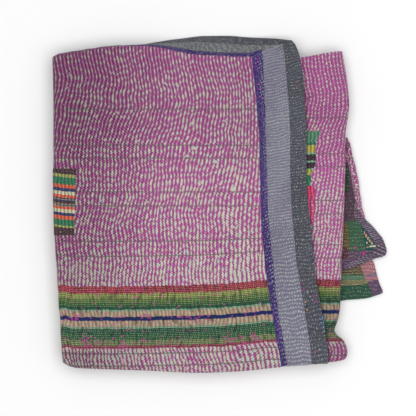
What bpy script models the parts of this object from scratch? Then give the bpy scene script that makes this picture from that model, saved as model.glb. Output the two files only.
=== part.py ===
"""Folded kantha quilt in metres, +Z up, standing on z = 0 with its box centred on the origin.

The quilted field is folded in half along its near edge (-Y) and then back and forth in four panels,
so a section along X is a serpentine of eight layers. Each solid is a cloth between two grids of
points: its face and its back. All shapes are first worked out for a flat-topped stack and then
raised and lowered a little by lift(), which scales heights alone, so the underside stays flat.
"""

from math import radians

import bmesh
import bpy
import numpy as np

MM = 0.001
LEAF = 4.4  # thickness of the quilted cloth, puckers and all
PITCH = 6.0  # from one layer to the next
LAYERS = 8
SEAM = 0.3  # gap between pieces that are sewn together
PATCH = 0.9  # thickness of a sewn-on patch
TOP = (LAYERS - 1) * PITCH + LEAF
OUTER = PITCH / 2 + LEAF / 2  # outer face from the middle of a doubled leaf
INNER = PITCH / 2 - LEAF / 2
ROUND = PITCH + OUTER  # outermost radius of a side fold
TUCK = 1.0  # the hidden lower leaf ends this far inside the border's edge

# Sections across the folded quilt, far to near, in mm: where the left fold, the seams of the side
# border, its edge, the right fold and the free ends of the upper and lower leaf lie in x.
COLUMNS = ("y", "left", "purple", "lavender", "grey", "edge", "right", "upper", "lower")
ACROSS = np.array(
    [
        (296, -301, 59, 76, 115, 138, 220, 190, 187),
        (289, -301, 59, 76, 115, 140, 221, 190, 187),
        (266, -301, 59, 79, 118, 145, 224, 192, 188),
        (232, -300, 62, 80, 121, 151, 230, 199, 196),
        (180, -299, 67, 83, 125, 154, 235, 207, 199),
        (119, -299, 72, 84, 128, 157, 228, 227, 203),
        (64, -299, 73, 86, 128, 157, 228, 240, 205),
        (25, -299, 74, 87, 129, 158, 227, 248, 207),
        (-16, -298, 75, 88, 131, 162, 226, 245, 207),
        (-56, -297, 77, 92, 135, 166, 224, 272, 207),
        (-79, -296, 80, 94, 137, 168, 223, 285, 212),
        (-104, -294, 82, 97, 139, 171, 221, 239, 278),
        (-119, -293, 84, 98, 142, 172, 221, 210, 281),
        (-144, -292, 87, 101, 146, 175, 220, 205, 288),
        (-160, -290, 90, 102, 149, 179, 219, 202, 293),
        (-173, -290, 91, 104, 151, 181, 219, 199, 221),
        (-205, -287, 97, 108, 156, 187, 216, 198, 203),
        (-230, -286, 101, 113, 160, 191, 208, 198, 201),
        (-248, -285, 104, 116, 163, 193, 226, 197, 199),
        (-268, -284, 108, 119, 165, 196, 232, 196, 198),
        (-288, -282, 111, 123, 167, 196, 226, 196, 196),
    ],
    float,
)
ROWS = ACROSS[3:-1, 0]  # rows of points between the far end and the near fold
FAR_Y, FOLD_Y = ACROSS[2, 0], ACROSS[-1, 0]  # y about which the ends of the rows are found

# The near fold and the far end of the inner layers, in mm.
NEAR = {
    "x": (-301, -283, -272, -258, -215, -125, -35, 37, 109, 165, 196, 226, 235),
    "y": (-281, -285.5, -291, -295, -297, -300, -304, -301, -294, -289.5, -287.7, -283.2, -280.5),
}
FAR = {"x": (-301, -214, -35, 60, 140, 222, 236), "y": (258.6, 261, 259.5, 258, 264, 276.5, 277)}
NEAR_STEP = {1: 0, 2: 2, 3: 4, 4: 3}  # how far each panel's near fold is drawn in
FAR_STEP = {1: 0, 2: 4, 3: 0, 4: 2, 5: 3, 6: 1, 7: 5, 8: 2}  # the same for each layer's far end
CORNER_STEP = 2.5  # and for the top layer where it turns round the left fold
END_SHARES = (0.4, 0.75, 1.0)  # extra rows between the last of ROWS and the far end

# The end border falls over the far end. A row for each section from the left fold to the mitre: the
# share of the way, then y in mm and the share of the height fallen for its four lines, from the
# field's seam to the free edge.
FALL = np.array(
    [
        (0.00, 270.6, 0.14, 271.4, 0.36, 270.8, 0.78, 262.0, 0.985),
        (0.15, 279.3, 0.16, 280.1, 0.38, 279.4, 0.78, 270.7, 0.985),
        (0.30, 285.6, 0.16, 286.6, 0.37, 286.2, 0.76, 279.9, 0.985),
        (0.45, 285.3, 0.10, 288.2, 0.30, 289.8, 0.72, 289.0, 0.985),
        (0.53, 281.5, 0.05, 285.7, 0.22, 290.7, 0.64, 296.0, 0.985),
        (0.62, 274.7, 0.03, 280.2, 0.18, 290.8, 0.60, 302.2, 0.985),
        (0.72, 269.0, 0.03, 275.6, 0.17, 288.7, 0.58, 303.0, 0.980),
        (0.82, 267.5, 0.03, 273.7, 0.16, 287.7, 0.56, 300.6, 0.930),
        (0.92, 265.6, 0.02, 272.5, 0.14, 286.8, 0.46, 297.9, 0.720),
        (1.00, 265.8, 0.02, 278.4, 0.12, 289.2, 0.34, 295.5, 0.500),
    ]
)
FALL_START = ACROSS[0, 1] + ROUND  # x of the first section, over the middle of the left fold
MITRE_X = (59.0, 76.0, 115.0, 138.0)  # x of the four lines at the mitre
BROW = 8.0  # the field starts to turn down this far before its seam
SIDE_BROW = 262.0  # y at which the side border starts to turn down to the mitre

# Edge of the upper flap's binding: y and x in mm, far to near.
BINDING = {
    "y": (-8, -16, -35, -56, -79, -90, -96, -104, -113, -118),
    "x": (248, 254.5, 270, 283, 297, 301, 291, 274, 253, 228),
}
# Right-hand edges of the two patches on the second panel: y and x in mm, far to near.
STRIPED_PATCH = {
    "y": (131.7, 119, 104.7, 72.3, 64, 52.5, 33),
    "x": (183.5, 178, 173.8, 173.8, 170, 165, 165),
}
PINK_PATCH = {"y": (32.6, 25, -16, -36), "x": (172, 172, 171, 168)}
PATCH_TUCK = 8.0  # they run this far under the top panel's edge
LEFT_PATCH_ROWS = (64, 25, -16, -56)
LEFT_PATCH_EDGE = (0.915, 0.92, 0.925, 0.93)  # its inner edge, as a share of the top panel

# Stations along the serpentine: shares of each panel and angles round each fold.
SHARES = {
    1: (0, 0.12, 0.26, 0.42, 0.58, 0.74, 0.86, 0.93),
    2: (0.15, 0.32, 0.5, 0.68, 0.84, 0.93),
    3: (0.2, 0.4, 0.6, 0.8),
    4: (0.2, 0.4, 0.6, 0.75, 0.86, 0.93, 1.0),
}
FOLD_ANGLES = np.radians((0, 36, 72, 108, 144, 180))
NEAR_ANGLES = np.radians((90, 60, 30, 0, -30, -60, -90))

COLOURS = {
    "quilt_cloth": (0.35, 0.09, 0.27),
    "side_border_purple": (0.07, 0.03, 0.19),
    "side_border_lavender": (0.25, 0.23, 0.31),
    "side_border_grey": (0.09, 0.10, 0.13),
    "end_border_purple": (0.07, 0.03, 0.19),
    "end_border_pale": (0.24, 0.27, 0.24),
    "end_border_grey": (0.09, 0.10, 0.11),
    "left_patch": (0.40, 0.20, 0.10),
    "right_patch": (0.05, 0.20, 0.13),
    "right_patch_pink": (0.58, 0.05, 0.16),
    "flap_binding": (0.12, 0.08, 0.13),
}


def across(column, y):
    """x of one named line of ACROSS at y."""
    return np.interp(y, ACROSS[::-1, 0], ACROSS[::-1, COLUMNS.index(column)])


def smooth(t):
    t = np.clip(t, 0, 1)
    return t * t * (3 - 2 * t)


def hollow(x, y, centre, width):
    """A soft round dip of depth 1 about a centre."""
    return np.exp(-(((x - centre[0]) / width[0]) ** 2) - ((y - centre[1]) / width[1]) ** 2)


def lift(x, y):
    """How much the stack's height is scaled: a low crown, a lean to the right and two soft dips."""
    crown = 0.06 * (1 - (x / 330) ** 2) * (1 - (y / 330) ** 2)
    dips = 0.035 * hollow(x, y, (-235, 150), (40, 70)) + 0.03 * hollow(x, y, (-27, 235), (40, 35))
    return 1 + crown - dips - 0.02 * x / 300


def droop(x, y):
    """How far the upper flap sinks towards the table, where nothing lies under it."""
    return 5.0 * smooth((x - 230) / 60) * (1 - smooth((-75 - y) / 25))


def near_line(x):
    """Middle of the top panel's turn at the near fold."""
    return np.interp(x, NEAR["x"], NEAR["y"]) + OUTER


def cloth(name, face, back):
    """One closed cloth between a face grid and a back grid, each of rows x columns x 3 points in mm."""
    rows, columns = face.shape[:2]
    points = np.concatenate([face.reshape(-1, 3), back.reshape(-1, 3)])
    points[:, 2] *= lift(points[:, 0], points[:, 1])
    index = np.arange(2 * rows * columns).reshape(2, rows, columns)
    quads = []
    for sheet in index:
        quads.append(np.stack([sheet[:-1, :-1], sheet[1:, :-1], sheet[1:, 1:], sheet[:-1, 1:]], -1))
    for edge in (index[:, 0], index[:, -1], index[:, :, 0], index[:, :, -1]):
        quads.append(np.stack([edge[0, :-1], edge[0, 1:], edge[1, 1:], edge[1, :-1]], -1))
    faces = np.concatenate([q.reshape(-1, 4) for q in quads])
    mesh = bpy.data.meshes.new(name)
    mesh.from_pydata((points * MM).tolist(), [], faces.tolist())
    shape = bmesh.new()
    shape.from_mesh(mesh)
    bmesh.ops.recalc_face_normals(shape, faces=shape.faces)
    shape.to_mesh(mesh)
    shape.free()
    mesh.shade_smooth()
    mesh.set_sharp_from_angle(angle=radians(50))
    mesh.materials.append(finish(name))
    collection.objects.link(bpy.data.objects.new(name, mesh))


def finish(name):
    """Matt cotton in the piece's main colour."""
    material = bpy.data.materials.new(name)
    material.use_nodes = True
    shader = material.node_tree.nodes["Principled BSDF"]
    shader.inputs["Base Color"].default_value = (*COLOURS[name], 1)
    shader.inputs["Roughness"].default_value = 0.9
    shader.inputs["Metallic"].default_value = 0
    return material


# ---------------------------------------------------------------- the end border's four lines


def fall_lines():
    """For each line of the end border: x, y, height and lean of the cloth at the field's stations."""
    share = 1 - np.array([*SHARES[1], 1.0])[::-1]
    table = np.array([np.interp(share, FALL[:, 0], column) for column in FALL.T[1:]])
    ys, zs = table[0::2], TOP * (1 - table[1::2])
    before = np.stack([ys[0] - BROW, np.full(len(share), TOP)])
    rise = np.concatenate([before[1:2], zs, 2 * zs[-1:] - zs[-2:-1]])
    reach = np.concatenate([before[0:1], ys, 2 * ys[-1:] - ys[-2:-1]])
    lean = np.arctan2(rise[:-2] - rise[2:], reach[2:] - reach[:-2])
    zs[-1] = np.maximum(zs[-1], LEAF * np.cos(lean[-1]))  # the free edge rests on its lower corner
    xs =[FALL_START + share * (end - FALL_START) for end in MITRE_X]
    return [dict(x=xs[i], y=ys[i], z=zs[i], lean=lean[i]) for i in range(4)]


def bend(start, end, lean_start, lean_end, share):
    """A smooth curve in (y, z) from start to end that leaves and arrives along the cloth's lean.

    It returns the points and the lean at each share of the way.
    """
    chord = np.hypot(end[0] - start[0], end[1] - start[1])
    leave = (chord * np.cos(lean_start), -chord * np.sin(lean_start))
    arrive = (chord * np.cos(lean_end), -chord * np.sin(lean_end))
    h = (
        2 * share**3 - 3 * share**2 + 1,
        share**3 - 2 * share**2 + share,
        -2 * share**3 + 3 * share**2,
        share**3 - share**2,
    )
    y, z = (h[0] * start[k] + h[1] * leave[k] + h[2] * end[k] + h[3] * arrive[k] for k in (0, 1))
    return y, z, lean_start + (lean_end - lean_start) * share


def under(face, lean, thickness=LEAF):
    """The back of a face grid whose cloth leans towards +Y by the given angle."""
    drop = np.stack([np.zeros_like(lean), np.sin(lean), np.cos(lean)], -1)
    return face - thickness * drop


# ---------------------------------------------------------------- the quilted field


def stations():
    """Every station along the serpentine: a panel's number and share, or a fold's number and angle."""
    for panel in (1, 2, 3, 4):
        for share in SHARES[panel]:
            yield "panel", panel, share
        if panel < 4:
            for angle in FOLD_ANGLES:
                yield "fold", panel, angle


def fold_centre(fold, y):
    """x of the middle of a side fold; the lower left fold lies a little unevenly inside the upper one."""
    if fold == 2:
        return across("right", y) - ROUND
    inset = (fold == 3) * (4.5 + 2.5 * np.sin(y / 90))
    return across("left", y) + ROUND + inset


def panel_ends(panel, y, leaf):
    """x where a panel starts and ends, for the outer leaf (1) or the inner leaf (-1) at each y."""
    if panel == 1:
        hidden = (leaf < 0) & (y > ROWS[-1] - 1)
        start = np.where(hidden, across("edge", y) - TUCK, across("purple", y) - SEAM)
    else:
        start = fold_centre(panel - 1, y)
    if panel == 4:
        return start, np.where(leaf < 0, across("upper", y), across("lower", y))
    return start, fold_centre(panel, y)


def on_serpentine(station, y, out, leaf):
    """x and z of points that lie out mm from the middle of the doubled leaf, at one station."""
    kind, number, at = station
    middle = (LAYERS + 0.5 - 2 * number) * PITCH + LEAF / 2
    turn = 1 if number % 2 else -1  # which way up the doubled leaf lies
    if kind == "panel":
        start, end = panel_ends(number, y, leaf)
        x = start + (end - start) * at
        z = middle + turn * out
        if number == 4:
            z = z - np.where(leaf < 0, droop(x, y), 0)
        return x, z
    radius = PITCH + turn * out
    return (
        fold_centre(number, y) - turn * radius * np.sin(at),
        middle - PITCH + radius * np.cos(at),
    )


def step_at(station, steps):
    """A panel's or layer's step at a station, blended round each fold."""
    kind, number, at = station
    if kind == "panel":
        return steps[number]
    return steps[number] + (steps[number + 1] - steps[number]) * at / np.pi


def leaf_steps(leaf):
    """FAR_STEP of the layers that one leaf runs through, by panel."""
    order = (1, 4, 5, 8) if leaf > 0 else (2, 3, 6, 7)
    return {panel: FAR_STEP[layer] for panel, layer in zip((1, 2, 3, 4), order)}


def far_rows(station, leaf):
    """y of the last three rows of a leaf, out to its far end."""
    last = ROWS[0]
    x = on_serpentine(station, np.array([FAR_Y]), np.array([leaf * OUTER]), np.array([leaf]))[0]
    end = np.interp(x, FAR["x"], FAR["y"]) - step_at(station, leaf_steps(leaf))
    if leaf > 0 and station[0] == "fold" and station[1] == 1:
        end = end + (fall[0]["y"][0] - CORNER_STEP - end) * (1 - smooth(station[2] / np.pi))
    return last + (end - last) * np.array(END_SHARES)


def leaf_rows(station, leaf):
    """Points of one leaf's face and back at one station, from its far end to the near fold."""
    kind, number, at = station
    falls = leaf > 0 and ((kind == "panel" and number == 1) or (kind == "fold" and number == 1 and at == 0))
    y = np.concatenate([far_rows(station, leaf)[::-1], ROWS])
    sides = []
    for out in (OUTER, INNER):
        x, z = on_serpentine(station, y, np.full(len(y), leaf * out), np.full(len(y), leaf))
        sides.append(np.stack([x, y, z], -1))
    if falls:
        face, back = sides
        seam = [np.interp(face[:3, 0], fall[0]["x"], fall[0][key]) for key in ("y", "z", "lean")]
        share = np.array([1.0, 0.5, 0.0])
        brow = (seam[0] - BROW, np.full(3, TOP))
        ry, rz, lean = bend(brow, (seam[0], seam[1]), np.zeros(3), seam[2], share)
        face[:3, 1], face[:3, 2] = ry, rz
        face[:3, 0] = on_serpentine(station, ry, np.full(3, OUTER), np.full(3, leaf))[0]
        back[:3] = under(face[:3], lean)
    return sides


def near_turn(station):
    """Points round the near fold at one station, on the outer and the inner radius."""
    x = on_serpentine(station, np.array([FOLD_Y]), np.zeros(1), np.ones(1))[0]
    middle = near_line(x) + step_at(station, NEAR_STEP)
    sides = []
    for radius in (OUTER, INNER):
        y = middle - radius * np.cos(NEAR_ANGLES)
        x, z = on_serpentine(station, y, radius * np.sin(NEAR_ANGLES), np.ones(len(y)))
        sides.append(np.stack([x, y, z], -1))
    return sides


def quilted_field():
    """The whole field: at each station the outer leaf, the turn at the near fold and the inner leaf."""
    face, back = [], []
    for station in stations():
        outer, turn, inner = leaf_rows(station, 1), near_turn(station), leaf_rows(station, -1)
        for grid, side in ((face, 0), (back, 1)):
            grid.append(np.concatenate([outer[side], turn[side], inner[side][::-1]]))
    cloth("quilt_cloth", np.array(face), np.array(back))


# ---------------------------------------------------------------- borders, patches and binding


def side_line(column, corner, inset):
    """One line of the side border, from under the near fold up to the mitre: face points and lean."""
    angles = NEAR_ANGLES[-2::-1]
    low = near_line(across(column, FOLD_Y)) - OUTER * np.cos(angles)
    low_z = (LAYERS - 1.5) * PITCH + LEAF / 2 + OUTER * np.sin(angles)
    up = ROWS[0] + (corner["y"][-1] - ROWS[0]) * np.array([0.4, 0.7, 0.85, 1.0])
    up[-1] -= SEAM + 0.1
    y = np.concatenate([low, ROWS[::-1], up])
    part = np.clip((y - SIDE_BROW) / (corner["y"][-1] - SIDE_BROW), 0, 1)
    z = TOP - (TOP - corner["z"][-1]) * part**2
    z[: len(low)] = low_z
    lean = corner["lean"][-1] * part
    lean[: len(low)] = angles - np.pi / 2
    face = np.stack([across(column, y) + inset, y, z], -1)
    return face, lean


def side_border(name, columns, corners):
    """A strip of the side border between two lines of ACROSS, with a column of points midway."""
    first, first_lean = side_line(columns[0], corners[0], 0)
    gap = SEAM if columns[1] != "edge" else 0
    last, last_lean = side_line(columns[1], corners[1], -gap)
    share = np.array([0, 0.5, 1])[:, None, None]
    face = first + (last - first) * share
    lean = first_lean + (last_lean - first_lean) * share[..., 0]
    cloth(name, face, under(face, lean))


def end_border(name, first, last):
    """A strip of the end border between two of its lines, bent to follow the fall of the cloth."""
    width = np.hypot(last["y"] - first["y"], last["z"] - first["z"])
    face, leans = [], []
    start, end = ((line["y"], line["z"]) for line in (first, last))
    for share in (SEAM / width, np.full(len(width), 0.35), np.full(len(width), 0.7), np.ones(len(width))):
        y, z, lean = bend(start, end, first["lean"], last["lean"], share)
        x = first["x"] + (last["x"] - first["x"]) * share
        face.append(np.stack([x, y, z], -1))
        leans.append(lean)
    face = np.array(face)
    cloth(name, face, under(face, np.array(leans)))


def left_patch():
    """The patch on the left fold: from its edge on the top panel, round the fold."""
    y = np.array(LEFT_PATCH_ROWS, float)
    sides = []
    for out in (OUTER + SEAM + PATCH, OUTER + SEAM):
        grid = []
        start, end = panel_ends(1, y, np.ones(len(y)))
        x = start + (end - start) * np.array(LEFT_PATCH_EDGE)
        grid.append(np.stack([x, y, np.full(len(y), TOP - OUTER + out)], -1))
        for angle in FOLD_ANGLES[:4]:
            x, z = on_serpentine(("fold", 1, angle), y, np.full(len(y), out), np.ones(len(y)))
            grid.append(np.stack([x, y, z], -1))
        sides.append(np.array(grid))
    cloth("left_patch", *sides)


def right_patch(name, edge):
    """A patch on the second panel, from under the top panel's edge to its own right-hand edge."""
    y = np.array(edge["y"], float)
    start = across("edge", y) - PATCH_TUCK
    x = start + (np.array(edge["x"], float) - start) * np.array([0, 0.5, 1])[:, None]
    height = TOP - 2 * PITCH + SEAM
    face, back = (np.stack([x, y + 0 * x, 0 * x + z], -1) for z in (height + PATCH, height))
    cloth(name, face, back)


def flap_binding():
    """The strip round the corner of the upper flap, between the field's end and the free edge."""
    y = np.array(BINDING["y"], float)
    start = across("upper", y) + SEAM
    x = start + (np.array(BINDING["x"], float) - start) * np.array([0, 0.5, 1])[:, None]
    height = PITCH - droop(x, y)
    face, back = (np.stack([x, y + 0 * x, height + z], -1) for z in (LEAF, 0))
    cloth("flap_binding", face, back)


def centre_on_origin(objects):
    """Moves every point so that the whole quilt's box is centred in plan and stands on z = 0."""
    points = np.concatenate([[v.co[:] for v in o.data.vertices] for o in objects])
    low, high = points.min(0), points.max(0)
    shift = np.array([-(low[0] + high[0]) / 2, -(low[1] + high[1]) / 2, -low[2]])
    for piece in objects:
        for vertex in piece.data.vertices:
            vertex.co += type(vertex.co)(shift)


for old in list(bpy.data.objects):
    bpy.data.objects.remove(old)
collection = bpy.data.collections.new("folded_kantha_quilt")
bpy.context.scene.collection.children.link(collection)

fall = fall_lines()
quilted_field()
side_border("side_border_purple", ("purple", "lavender"), fall[0:2])
side_border("side_border_lavender", ("lavender", "grey"), fall[1:3])
side_border("side_border_grey", ("grey", "edge"), fall[2:4])
end_border("end_border_purple", fall[0], fall[1])
end_border("end_border_pale", fall[1], fall[2])
end_border("end_border_grey", fall[2], fall[3])
left_patch()
right_patch("right_patch", STRIPED_PATCH)
right_patch("right_patch_pink", PINK_PATCH)
flap_binding()
centre_on_origin(list(collection.objects))
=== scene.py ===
"""Folded kantha quilt: its stitched field, borders, patches and loose corner, dressed over the frame.

Each piece is a sheet of cloth worked out with numpy as a grid of points in mm, on a flat-topped
stack of eight layers. One way of the grid runs along the folded layers, the other along the stitch
rows. The sheets are then raised a little by lift(), which is the same for all of them, and made in
metres where the frame's solids lie.
"""

import functools

import bpy
import numpy as np
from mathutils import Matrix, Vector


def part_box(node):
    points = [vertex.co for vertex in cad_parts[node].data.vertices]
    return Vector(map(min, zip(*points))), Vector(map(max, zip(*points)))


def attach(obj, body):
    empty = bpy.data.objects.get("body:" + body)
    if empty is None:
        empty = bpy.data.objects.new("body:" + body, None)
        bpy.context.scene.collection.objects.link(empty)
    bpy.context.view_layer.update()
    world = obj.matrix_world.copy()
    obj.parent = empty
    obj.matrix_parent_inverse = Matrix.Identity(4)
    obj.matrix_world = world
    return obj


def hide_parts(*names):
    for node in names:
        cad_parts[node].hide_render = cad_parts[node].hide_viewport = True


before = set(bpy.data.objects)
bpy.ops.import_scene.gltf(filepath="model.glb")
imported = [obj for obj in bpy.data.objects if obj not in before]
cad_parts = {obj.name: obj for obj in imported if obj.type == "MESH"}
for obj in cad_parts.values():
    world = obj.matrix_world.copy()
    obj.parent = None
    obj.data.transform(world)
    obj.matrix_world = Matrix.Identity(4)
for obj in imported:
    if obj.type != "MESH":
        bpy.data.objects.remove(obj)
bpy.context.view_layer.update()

bl_info = {
    "name": "Folded Kantha Quilt",
    "version": (1, 0, 0),
    "blender": (4, 5, 0),
    "location": "View3D > Sidebar > Kantha Quilt",
    "description": "Makes a folded kantha quilt of stitched cloth, strip borders and sewn patches",
    "category": "Add Mesh",
}

MM = 0.001
FULL_TURN = 6.2832  # radians in a circle, for the waves in the materials

# ---------------------------------------------------------------- the folded stack, in mm

LEAF = 4.4  # thickness of the quilted cloth, puckers and all
PITCH = 6.0  # from one layer to the next
LAYERS = 8
SEAM = 0.3  # gap between pieces that are sewn together
TOP = (LAYERS - 1) * PITCH + LEAF
OUTER = PITCH / 2 + LEAF / 2  # outer face from the middle of a doubled leaf
INNER = PITCH / 2 - LEAF / 2
ROUND = PITCH + OUTER  # outermost radius of a side fold
QUARTER = OUTER * np.pi / 2  # cloth in a quarter turn at the near fold
TUCK = 1.0  # the hidden lower leaf ends this far inside the border's edge
COVER = 1.3  # thickness of the face cloths laid over the layers
DRAWN_IN = 1.7  # the layers are this much thinner under a face cloth
CREASE = 5.0  # a face cloth runs this far into the crease between two layers

# Sections across the folded quilt, far to near: where the left fold, the seams of the side border,
# its edge, the right fold and the free ends of the upper and lower leaf lie in x.
COLUMNS = ("y", "left", "purple", "lavender", "grey", "edge", "right", "upper", "lower")
ACROSS = np.array(
    [
        (296, -301, 59, 76, 115, 132, 220, 190, 187),
        (289, -301, 59, 76, 115, 137, 221, 190, 187),
        (266, -301, 59, 79, 118, 145, 224, 192, 188),
        (232, -300, 62, 80, 121, 151, 230, 199, 196),
        (180, -299, 67, 83, 125, 154, 235, 207, 199),
        (119, -299, 72, 84, 128, 157, 228, 227, 203),
        (64, -299, 73, 86, 128, 157, 228, 240, 205),
        (25, -299, 74, 87, 129, 158, 227, 248, 207),
        (-16, -298, 75, 88, 131, 162, 226, 245, 207),
        (-56, -297, 77, 92, 135, 166, 224, 272, 207),
        (-79, -296, 80, 94, 137, 168, 223, 285, 212),
        (-104, -294, 82, 97, 139, 171, 221, 239, 280),
        (-119, -293, 84, 98, 142, 172, 221, 210, 284),
        (-144, -292, 87, 101, 146, 175, 220, 205, 291),
        (-160, -290, 90, 102, 149, 179, 219, 202, 297),
        (-166, -290, 90.5, 102.8, 149.9, 180, 219, 200.4, 284),
        (-171, -290, 90.8, 103.7, 150.7, 180.7, 219, 199.2, 266),
        (-176, -289.9, 91.4, 104.4, 151.5, 181.5, 219, 198.8, 212),
        (-205, -287, 97, 108, 156, 187, 216, 198, 203),
        (-230, -286, 101, 113, 160, 191, 208, 198, 201),
        (-248, -285, 104, 116, 163, 193, 226, 197, 199),
        (-268, -284, 108, 119, 165, 196, 232, 196, 198),
        (-288, -282, 111, 123, 167, 196, 226, 196, 196),
    ],
    float,
)
FAR_Y, FOLD_Y = ACROSS[2, 0], ACROSS[-1, 0]  # y about which the ends of the rows are found

# The near fold and the far end of the inner layers.
NEAR = {
    "x": (-301, -283, -272, -258, -215, -125, -35, 37, 109, 165, 196, 226, 235),
    "y": (-281, -285.5, -291, -295, -297, -300, -304, -301, -294, -289.5, -287.7, -283.2, -280.5),
}
FAR = {"x": (-301, -214, -35, 60, 140, 222, 236), "y": (258.6, 261, 259.5, 258, 264, 276.5, 277)}
NEAR_STEP = (0, 2, 4, 3)  # how far each panel's near fold is drawn in
FAR_STEP = {1: (0, 2, 3, 2), -1: (4, 0, 1, 5)}  # each panel's far end, for the outer and inner leaf
CORNER_STEP = 2.5  # and for the top layer where it turns round the left fold

# The end border falls over the far end. A row for each section from the left fold to the mitre: the
# share of the way, then y and the share of the height fallen for its four lines, from the field's
# seam to the free edge.
FALL = np.array(
    [
        (0.00, 270.6, 0.14, 271.4, 0.36, 270.8, 0.78, 262.0, 0.985),
        (0.15, 279.3, 0.16, 280.1, 0.38, 279.4, 0.78, 270.7, 0.985),
        (0.30, 285.6, 0.16, 286.6, 0.37, 287.2, 0.76, 285.0, 0.985),
        (0.45, 285.3, 0.10, 288.2, 0.30, 291.8, 0.72, 297.0, 0.985),
        (0.53, 281.5, 0.05, 285.7, 0.22, 292.8, 0.64, 301.4, 0.985),
        (0.62, 274.7, 0.03, 280.2, 0.18, 294.0, 0.60, 305.6, 0.985),
        (0.72, 269.0, 0.03, 275.6, 0.17, 291.4, 0.58, 306.0, 0.980),
        (0.82, 267.5, 0.03, 273.7, 0.16, 289.0, 0.56, 303.0, 0.930),
        (0.92, 265.6, 0.02, 272.5, 0.14, 287.4, 0.46, 300.6, 0.720),
        (1.00, 265.8, 0.02, 278.4, 0.12, 289.2, 0.34, 296.5, 0.500),
    ]
)
FALL_START = ACROSS[0, 1] + ROUND  # x of the first section, over the middle of the left fold
MITRE_X = (59.0, 76.0, 115.0, 132.0)  # x of the four lines at the mitre
BROW = 8.0  # the field starts to turn down this far before its seam
SIDE_BROW = 262.0  # y at which the side border starts to turn down to the mitre
CORNER_TURN = 0.2  # the fall dies out over this share of the left fold

# Edges of the binding, of the upper leaf's patchwork and of the patches, and the middle and half-width
# of the curled edge: y and x, far to near.
BINDING = {
    "x": (250, 258, 267, 278.5, 289, 296.5, 301.5, 304, 302.5, 297, 283, 272, 256, 240, 230),
    "y": (-8, -16, -29, -40, -52.6, -62, -74.4, -84, -91, -95, -98.5, -103.5, -109.7, -115.5, -118.8),
    "corner": 0.54,  # share of the way at which the corner lies
    "inner_y": (-6, -80, -118.5),  # its inner line's start, corner and end
}
BINDING_END = -118.0  # y of the lowest point of the binding in the frame
FACE_EDGE = {
    "y": (84, 79.6, 61.5, 43.4, 25.3, 7.1, -11, -20, -30),
    "x": (222, 229, 237.4, 240.1, 242.8, 246.4, 251.9, 270, 320),
}
CURL = {
    "y": (121, 119.5, 106.8, 88.7, 70.5, 52.4, 34.3, 16.2, -1.9, -18.2, -25.5),
    "x": (230.8, 231.5, 233.5, 236.5, 240.8, 244.4, 247.7, 250.2, 253.8, 259.5, 262.5),
    "half": (0.8, 1.6, 3.8, 5.2, 5.9, 6.0, 6.0, 5.7, 5.0, 3.6, 1.8),
}
STRIPED_PATCH = {
    "y": (131.7, 119, 104.7, 72.3, 64, 52.5, 33),
    "x": (183.5, 178, 173.8, 173.8, 170, 165, 165),
}
PINK_PATCH = {"y": (32.6, 25, -16, -36), "x": (172, 172, 171, 168)}
PATCH_TUCK = 8.0  # they run this far under the top panel's edge
# The left patch starts at these shares of the first panel and ends in the fold.
LEFT_PATCH = {"y": (64, 25, -16, -56), "share": (0.915, 0.92, 0.925, 0.93), "end": 1.6}

# Cloth in each part of the serpentine: a panel, a side fold, a panel and so on.
PART_LENGTHS = (366, 35, 504, 35, 500, 35, 485)
KNOTS = np.concatenate([[0], np.cumsum(PART_LENGTHS)]).astype(float)

# Flat size of each sheet in metres: across its stitch rows, then along them.
FLAT = {
    "quilt_layers": (KNOTS[-1] * MM, 1.15),
    "top_panel": (0.41, 0.60),
    "second_panel": (0.137, 0.58),
    "side_border_purple_cloth": (0.016, 0.62),
    "side_border_lavender_cloth": (0.044, 0.62),
    "side_border_grey_cloth": (0.032, 0.62),
    "end_border_purple_cloth": (0.013, 0.37),
    "end_border_pale_cloth": (0.025, 0.40),
    "end_border_grey_cloth": (0.020, 0.43),
    "patch_left": (0.048, 0.12),
    "patch_right_patch": (0.026, 0.098),
    "patch_right_patch_pink": (0.02, 0.068),
    "upper_flap_face": (0.052, 0.20),
    "lower_flap_face": (0.09, 0.078),
    "curled_edge": (0.018, 0.15),
    "binding": (0.026, 0.11),
}


def smooth(t):
    """An S-curve from 0 to 1."""
    t = np.clip(t, 0, 1)
    return t * t * (3 - 2 * t)


def curve(at, places, values):
    """A smooth curve through a short table: cubics whose slopes are the harmonic mean of the chords.

    It never swings past the table's values, and stays level outside them.
    """
    places, values = np.asarray(places, float), np.asarray(values, float)
    if places[0] > places[-1]:
        places, values = places[::-1], values[::-1]
    step = np.diff(places)
    chord = np.diff(values) / step
    same = chord[:-1] * chord[1:] > 0
    mean = 2 * chord[:-1] * chord[1:] / np.where(same, chord[:-1] + chord[1:], 1)
    slope = np.concatenate([chord[:1], np.where(same, mean, 0), chord[-1:]])
    at = np.clip(at, places[0], places[-1])
    k = np.clip(np.searchsorted(places, at) - 1, 0, len(step) - 1)
    t = (at - places[k]) / step[k]
    start, end = values[k], values[k + 1]
    leave, arrive = slope[k] * step[k], slope[k + 1] * step[k]
    return (
        (2 * t**3 - 3 * t**2 + 1) * start
        + (t**3 - 2 * t**2 + t) * leave
        + (3 * t**2 - 2 * t**3) * end
        + (t**3 - t**2) * arrive
    )


def across(column, y):
    """x of one named line of ACROSS at y."""
    return curve(y, ACROSS[:, 0], ACROSS[:, COLUMNS.index(column)])


def drift(p, q, size, seed):
    """A smooth random field of about -1 to 1: nine sine waves of about one length, in all directions."""
    random = np.random.default_rng(seed)
    total = 0.0
    for _ in range(9):
        angle, phase = random.uniform(0, 2 * np.pi, 2)
        length = size * random.uniform(0.7, 1.5)
        total = total + np.sin(2 * np.pi * (p * np.cos(angle) + q * np.sin(angle)) / length + phase)
    return total / 3


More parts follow.
